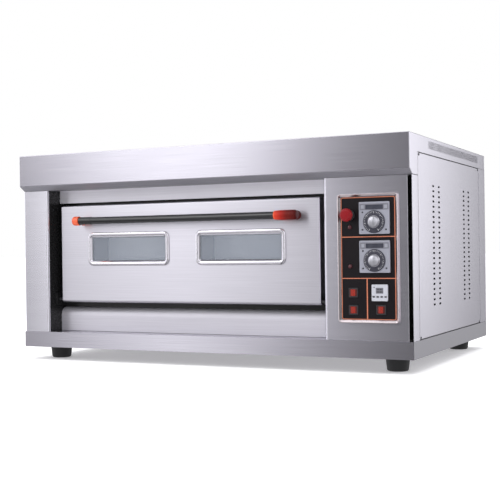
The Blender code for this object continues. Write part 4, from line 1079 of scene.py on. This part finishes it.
def make_switch(name):
    """A framed rocker with a shallow dip, and darker edges round its lit face."""
    node = name + "_switch_frame"
    low, high = corners(node)
    centre = middle(node)
    case = plugged(name + "_switch_bezel", node, (0.024, 0.023, 0.001), (0.028, 0.027),
                   ((0.0010, 0, 0.002), (0.0002, 0.0004, 0.0018), (0, 0.0010, 0.0016)))
    cut(case, box_into, (centre.x - 0.0112, low.y - 0.04, centre.z - 0.0105),
        (centre.x + 0.0112, high.y + 0.04, centre.z + 0.0105))
    finish(case, "oven", DARK, "dark_plastic", node, edge=0.0003)
    half_w, half_d, dip, height = 0.0104, 0.0032, 0.0018, 0.0204
    front = [(half_w * s, dip * (1 - abs(s)) ** 1.5 - half_d) for s in [i / 6 - 1 for i in range(13)]]
    bm = bmesh.new()
    prism_into(bm, "Z", [(-half_w, half_d), *front, (half_w, half_d)], (-height / 2, height / 2))
    lay = Matrix.Translation((centre.x, ROCKER_AXIS, centre.z)) @ Matrix.Rotation(ROCKER_REST, 4, "Z")
    bmesh.ops.transform(bm, matrix=lay, verts=bm.verts)
    rocker = from_bmesh(name + "_rocker_cap", bm)
    finish(rocker, name + "_rocker", LIT, "lit_red", name + "_rocker", edge=0.0009, segments=3, angle=40)
    paint(rocker, LIT_EDGE, lambda polygon: abs(polygon.center.x - centre.x) > half_w * 0.55
          or abs(polygon.center.z - centre.z) > height * 0.40)


def make_buttons():
    """The emergency stop, its collar and the two indicator lamps."""
    place = middle("estop_button")
    foot = Vector((place.x, PLATE_FACE, place.z))
    collar = [(0.0125, 0.0115), (0.0142, 0.0110), (0.0150, 0.0098), (0.0154, 0.0020), (0.0152, GAP),
              (0.0108, GAP), (0.0108, -0.030), (0.0078, -0.030), (0.0078, 0.0115)]
    ring = turned("estop_ring", collar, foot, TO_FRONT, 64, closed=True)
    finish(ring, "oven", DARK, "dark_plastic", "estop_collar")
    top = PLATE_FACE - corners("estop_button")[0].y
    head = [(0, 0.0002), (0.0105, 0), (0.0118, 0.0005), (0.0160, 0.0042), (0.0174, 0.0062),
            (0.0182, 0.0080), (0.0185, 0.0100), (0.0185, 0.0140), (0.0180, 0.0156), (0.0120, 0.0210),
            (0.0070, 0.0220)]
    profile = [(radius, top - drop) for radius, drop in head] + [(0.0070, -0.022), (0, -0.022)]
    button = turned("estop_head", profile, foot, TO_FRONT, 72)
    finish(button, "estop_button", RED, "red_plastic", "estop_button")
    lens = [(0, 0.0055), (0.0018, 0.0053), (0.0036, 0.0046), (0.0050, 0.0036), (0.0056, 0.0024),
            (0.0058, 0.0010), (0.0058, GAP), (0.0040, GAP), (0.0040, -0.014), (0, -0.014)]
    for level in ("upper", "lower"):
        at = middle(level + "_indicator")
        lamp = turned(level + "_indicator_lens", lens, (at.x, PLATE_FACE, at.z), TO_FRONT, 40)
        finish(lamp, "oven", DIM_RED, "red_plastic", level + "_indicator")


# ---------------------------------------------------------------- inside
ELEMENT_PITCH = 0.100
ELEMENT_RUNS = 6
ELEMENT_FIRST = FRONT + 0.190
ELEMENT_SIDES = (-0.5177 + 0.03, 0.3523 - 0.03)
ELEMENT_END = 0.425


def element_route():
    """The elements' line, back and forth across the oven from one terminal to the other."""
    radius = ELEMENT_PITCH / 2
    left, right = ELEMENT_SIDES[0] + radius, ELEMENT_SIDES[1] - radius
    route = [(ELEMENT_END, ELEMENT_FIRST)]
    for turn in range(ELEMENT_RUNS - 1):
        at = ELEMENT_FIRST + (turn + 0.5) * ELEMENT_PITCH
        if turn % 2 == 0:
            route += arc((left, at), radius, 270, 90, 16)
        else:
            route += arc((right, at), radius, -90, 90, 16)
    route.append((ELEMENT_END, ELEMENT_FIRST + (ELEMENT_RUNS - 1) * ELEMENT_PITCH))
    return route


def make_elements():
    """The serpentine heating elements, as smooth bent rods."""
    route = element_route()
    for level in ("upper", "lower"):
        node = level + "_heating_element"
        height = middle(node).z
        curve = bpy.data.curves.new(node, "CURVE")
        curve.dimensions = "3D"
        curve.bevel_depth = 0.004
        curve.bevel_resolution = 5
        curve.use_fill_caps = True
        spline = curve.splines.new("POLY")
        spline.points.add(len(route) - 1)
        for knot, point in zip(spline.points, route):
            knot.co = (*point, height, 1.0)
        rod = link(level + "_element_rod", curve)
        graph = bpy.context.evaluated_depsgraph_get()
        mesh = bpy.data.meshes.new_from_object(rod.evaluated_get(graph))
        bpy.data.objects.remove(rod, do_unlink=True)
        finish(link(level + "_element_rod", mesh), "oven", HOT, "hot_steel", node)


def dress_frame():
    """Finishes for the CAD nodes that are shown as they are, with painted shade on the base pan's sides.
    """
    dress(CASING, 0.0006, "rear_panel")
    dress(HOOD_STEEL, 0.0006, "base_pan")
    # Painted shade: the base pan's sides get the darker steel.
    paint(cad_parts["base_pan"], SHADE_STEEL, lambda polygon: abs(polygon.normal.x) > 0.9)
    dress(PLAIN, 0.0005, "cavity_liner", "partition_wall", "door_inner_panel")
    dress(BLACK_AND_SHADE, 0.0004, "left_hinge_bracket", "right_hinge_bracket")
    dress(HEARTH, 0.0006, "deck_plate")
    dress(WOOL, 0.0, "insulation_jacket")
    dress(PLATE_BLACK, 0.0003, "control_panel")
    dress(BRIGHT, 0.0, "upper_probe", "lower_probe", "exhaust_pipe")
    dress(DARK, 0.0, "cable_gland", "contactor", "hinge_rod")
    dress(CLEAR, 0.0, "oven_lamp")
    dress(INNER_GLASS, 0.0, "inner_glass")
    dress(GLASS, 0.0, "left_window_glass", "right_window_glass")


# ---------------------------------------------------------------- studio
CAMERA_PLACE = (1.50061, -3.14758, 0.35134)
CAMERA_LENS = 73.336
CAMERA_YAW = math.radians(26.0367)
CAMERA_PITCH = math.radians(0.0338)
CAMERA_ROLL = math.radians(-0.7455)


def make_camera():
    """The camera, in front and to the right, level with the windows."""
    forward = Vector((-math.sin(CAMERA_YAW), math.cos(CAMERA_YAW), 0))
    right = Vector((math.cos(CAMERA_YAW), math.sin(CAMERA_YAW), 0))
    up = UNIT["Z"]
    ahead = forward * math.cos(CAMERA_PITCH) + up * math.sin(CAMERA_PITCH)
    above = up * math.cos(CAMERA_PITCH) - forward * math.sin(CAMERA_PITCH)
    side = right * math.cos(CAMERA_ROLL) + above * math.sin(CAMERA_ROLL)
    head = above * math.cos(CAMERA_ROLL) - right * math.sin(CAMERA_ROLL)
    data = bpy.data.cameras.new("camera")
    data.lens = CAMERA_LENS
    data.sensor_width = 36
    camera = link("camera", data)
    turn = Matrix((side, head, -ahead)).transposed().to_4x4()
    camera.matrix_world = Matrix.Translation(CAMERA_PLACE) @ turn
    bpy.context.scene.camera = camera


def make_floor():
    """A wide pale floor."""
    bm = bmesh.new()
    bmesh.ops.create_grid(bm, x_segments=8, y_segments=8, size=60)
    floor = from_bmesh("floor", bm, closed=False)
    pale = surface("pale_floor", (0.90, 0.90, 0.90), (0.93, 0.93, 0.93), 0.75, grain=30, patches=0.8,
                   Emission_Color=(1.0, 1.0, 1.0, 1.0), Emission_Strength=0.25)
    floor.data.materials.append(pale)
    floor.visible_glossy = False


FRONT_WALL = [(-1.0, 1.60), (-0.80, 1.50), (-0.72, 0.30), (-0.625, 0.30), (-0.565, 1.65), (-0.48, 2.00),
              (-0.42, 0.85), (-0.36, 0.38), (-0.30, 0.08), (-0.22, 0.10), (-0.08, 0.90), (0.62, 1.40),
              (0.74, 0.25), (0.93, 0.25), (1.0, 1.0)]
REAR_WALL = [(-1.0, 1.4), (-0.60, 1.0), (0.10, 0.12), (0.24, 0.15), (0.29, 1.72), (0.60, 1.30),
             (1.0, 1.0)]
HEIGHT_WALL = [(-1.0, 0.50), (-0.35, 0.45), (-0.12, 0.55), (-0.05, 0.82), (0.0, 1.0), (0.08, 1.06),
               (0.16, 1.20), (0.5, 1.1), (1.0, 1.0)]
WALL_STRENGTH = 2.0
WALL_TINT = (0.99, 0.985, 1.015)


def shaded(nodes, value, stops, tint=WALL_TINT):
    """A wall's colour, whose brightness follows a value through stops from -1 to 1."""
    colours = [[brightness / WALL_STRENGTH * part for part in tint] for position, brightness in stops]
    places = [position * 0.5 + 0.5 for position, brightness in stops]
    return nodes.ramp(value, list(zip(places, colours)))


def make_world():
    """A white room whose walls are darker in some directions, so that steel has something to show."""
    world = bpy.data.worlds.new("studio")
    bpy.context.scene.world = world
    nodes = Nodes(world, "Background")
    towards = nodes.add("ShaderNodeSeparateXYZ", nodes.where["Generated"]).outputs
    level = nodes.add("ShaderNodeCombineXYZ", towards["X"], towards["Y"]).outputs[0]
    flat = nodes.add("ShaderNodeSeparateXYZ", nodes.vector("NORMALIZE", level)).outputs
    across = nodes.remap(flat["X"], 0.0, 1.0, -1.0, 1.0)
    behind = nodes.remap(flat["Y"], 0.0, 1.0, -0.15, 0.15)
    height = nodes.remap(towards["Z"], 0.0, 1.0, -1.0, 1.0)
    walls = nodes.mix(behind, shaded(nodes, across, FRONT_WALL), shaded(nodes, across, REAR_WALL))
    shade = shaded(nodes, height, HEIGHT_WALL, (1, 1, 1))
    walls = nodes.vector("SCALE", nodes.vector("MULTIPLY", shade, walls), Scale=WALL_STRENGTH)
    ray = nodes.add("ShaderNodeLightPath").outputs["Is Camera Ray"]
    seen = nodes.mix(ray, walls, rgba([1 / WALL_STRENGTH] * 3))
    nodes.fill(nodes.shader, Color=seen, Strength=WALL_STRENGTH)


def make_light(name, place, target, size, power, shows=True):
    """A soft light, aimed at a point; it may stay out of reflections."""
    data = bpy.data.lights.new(name, "AREA")
    data.shape = "RECTANGLE"
    data.size, data.size_y = size
    data.energy = power
    light = link(name, data)
    turn = (Vector(target) - Vector(place)).to_track_quat("-Z", "Y").to_matrix().to_4x4()
    light.matrix_world = Matrix.Translation(place) @ turn
    light.visible_camera = False
    light.visible_glossy = shows


def make_lights():
    """A key from the front left, a softer one from the right and one from above."""
    make_light("key", (-2.4, -3.6, 2.6), (0, 0, 0.3), (2.2, 1.6), 20)
    make_light("right", (3.6, -0.8, 1.8), (0.4, 0, 0.3), (1.8, 1.8), 12)
    make_light("top", (0.0, -0.4, 4.0), (0, 0, 0), (5.0, 5.0), 150, shows=False)


bpy.context.scene.view_settings.view_transform = "Standard"
make_camera()
make_world()
make_lights()
make_floor()
make_canopy()
make_posts()
make_door_surround()
make_covers()
make_feet()
make_rear()
make_door_skin()
make_windows()
make_tunnel_shade_linings()
make_handle()
make_fascia()
make_bezel()
make_plate_lines()
for level in ("upper", "lower"):
    make_controller(level)
    make_dial(level)
make_timer()
for name in SWITCHES:
    make_switch(name)
make_buttons()
make_elements()
dress_frame()
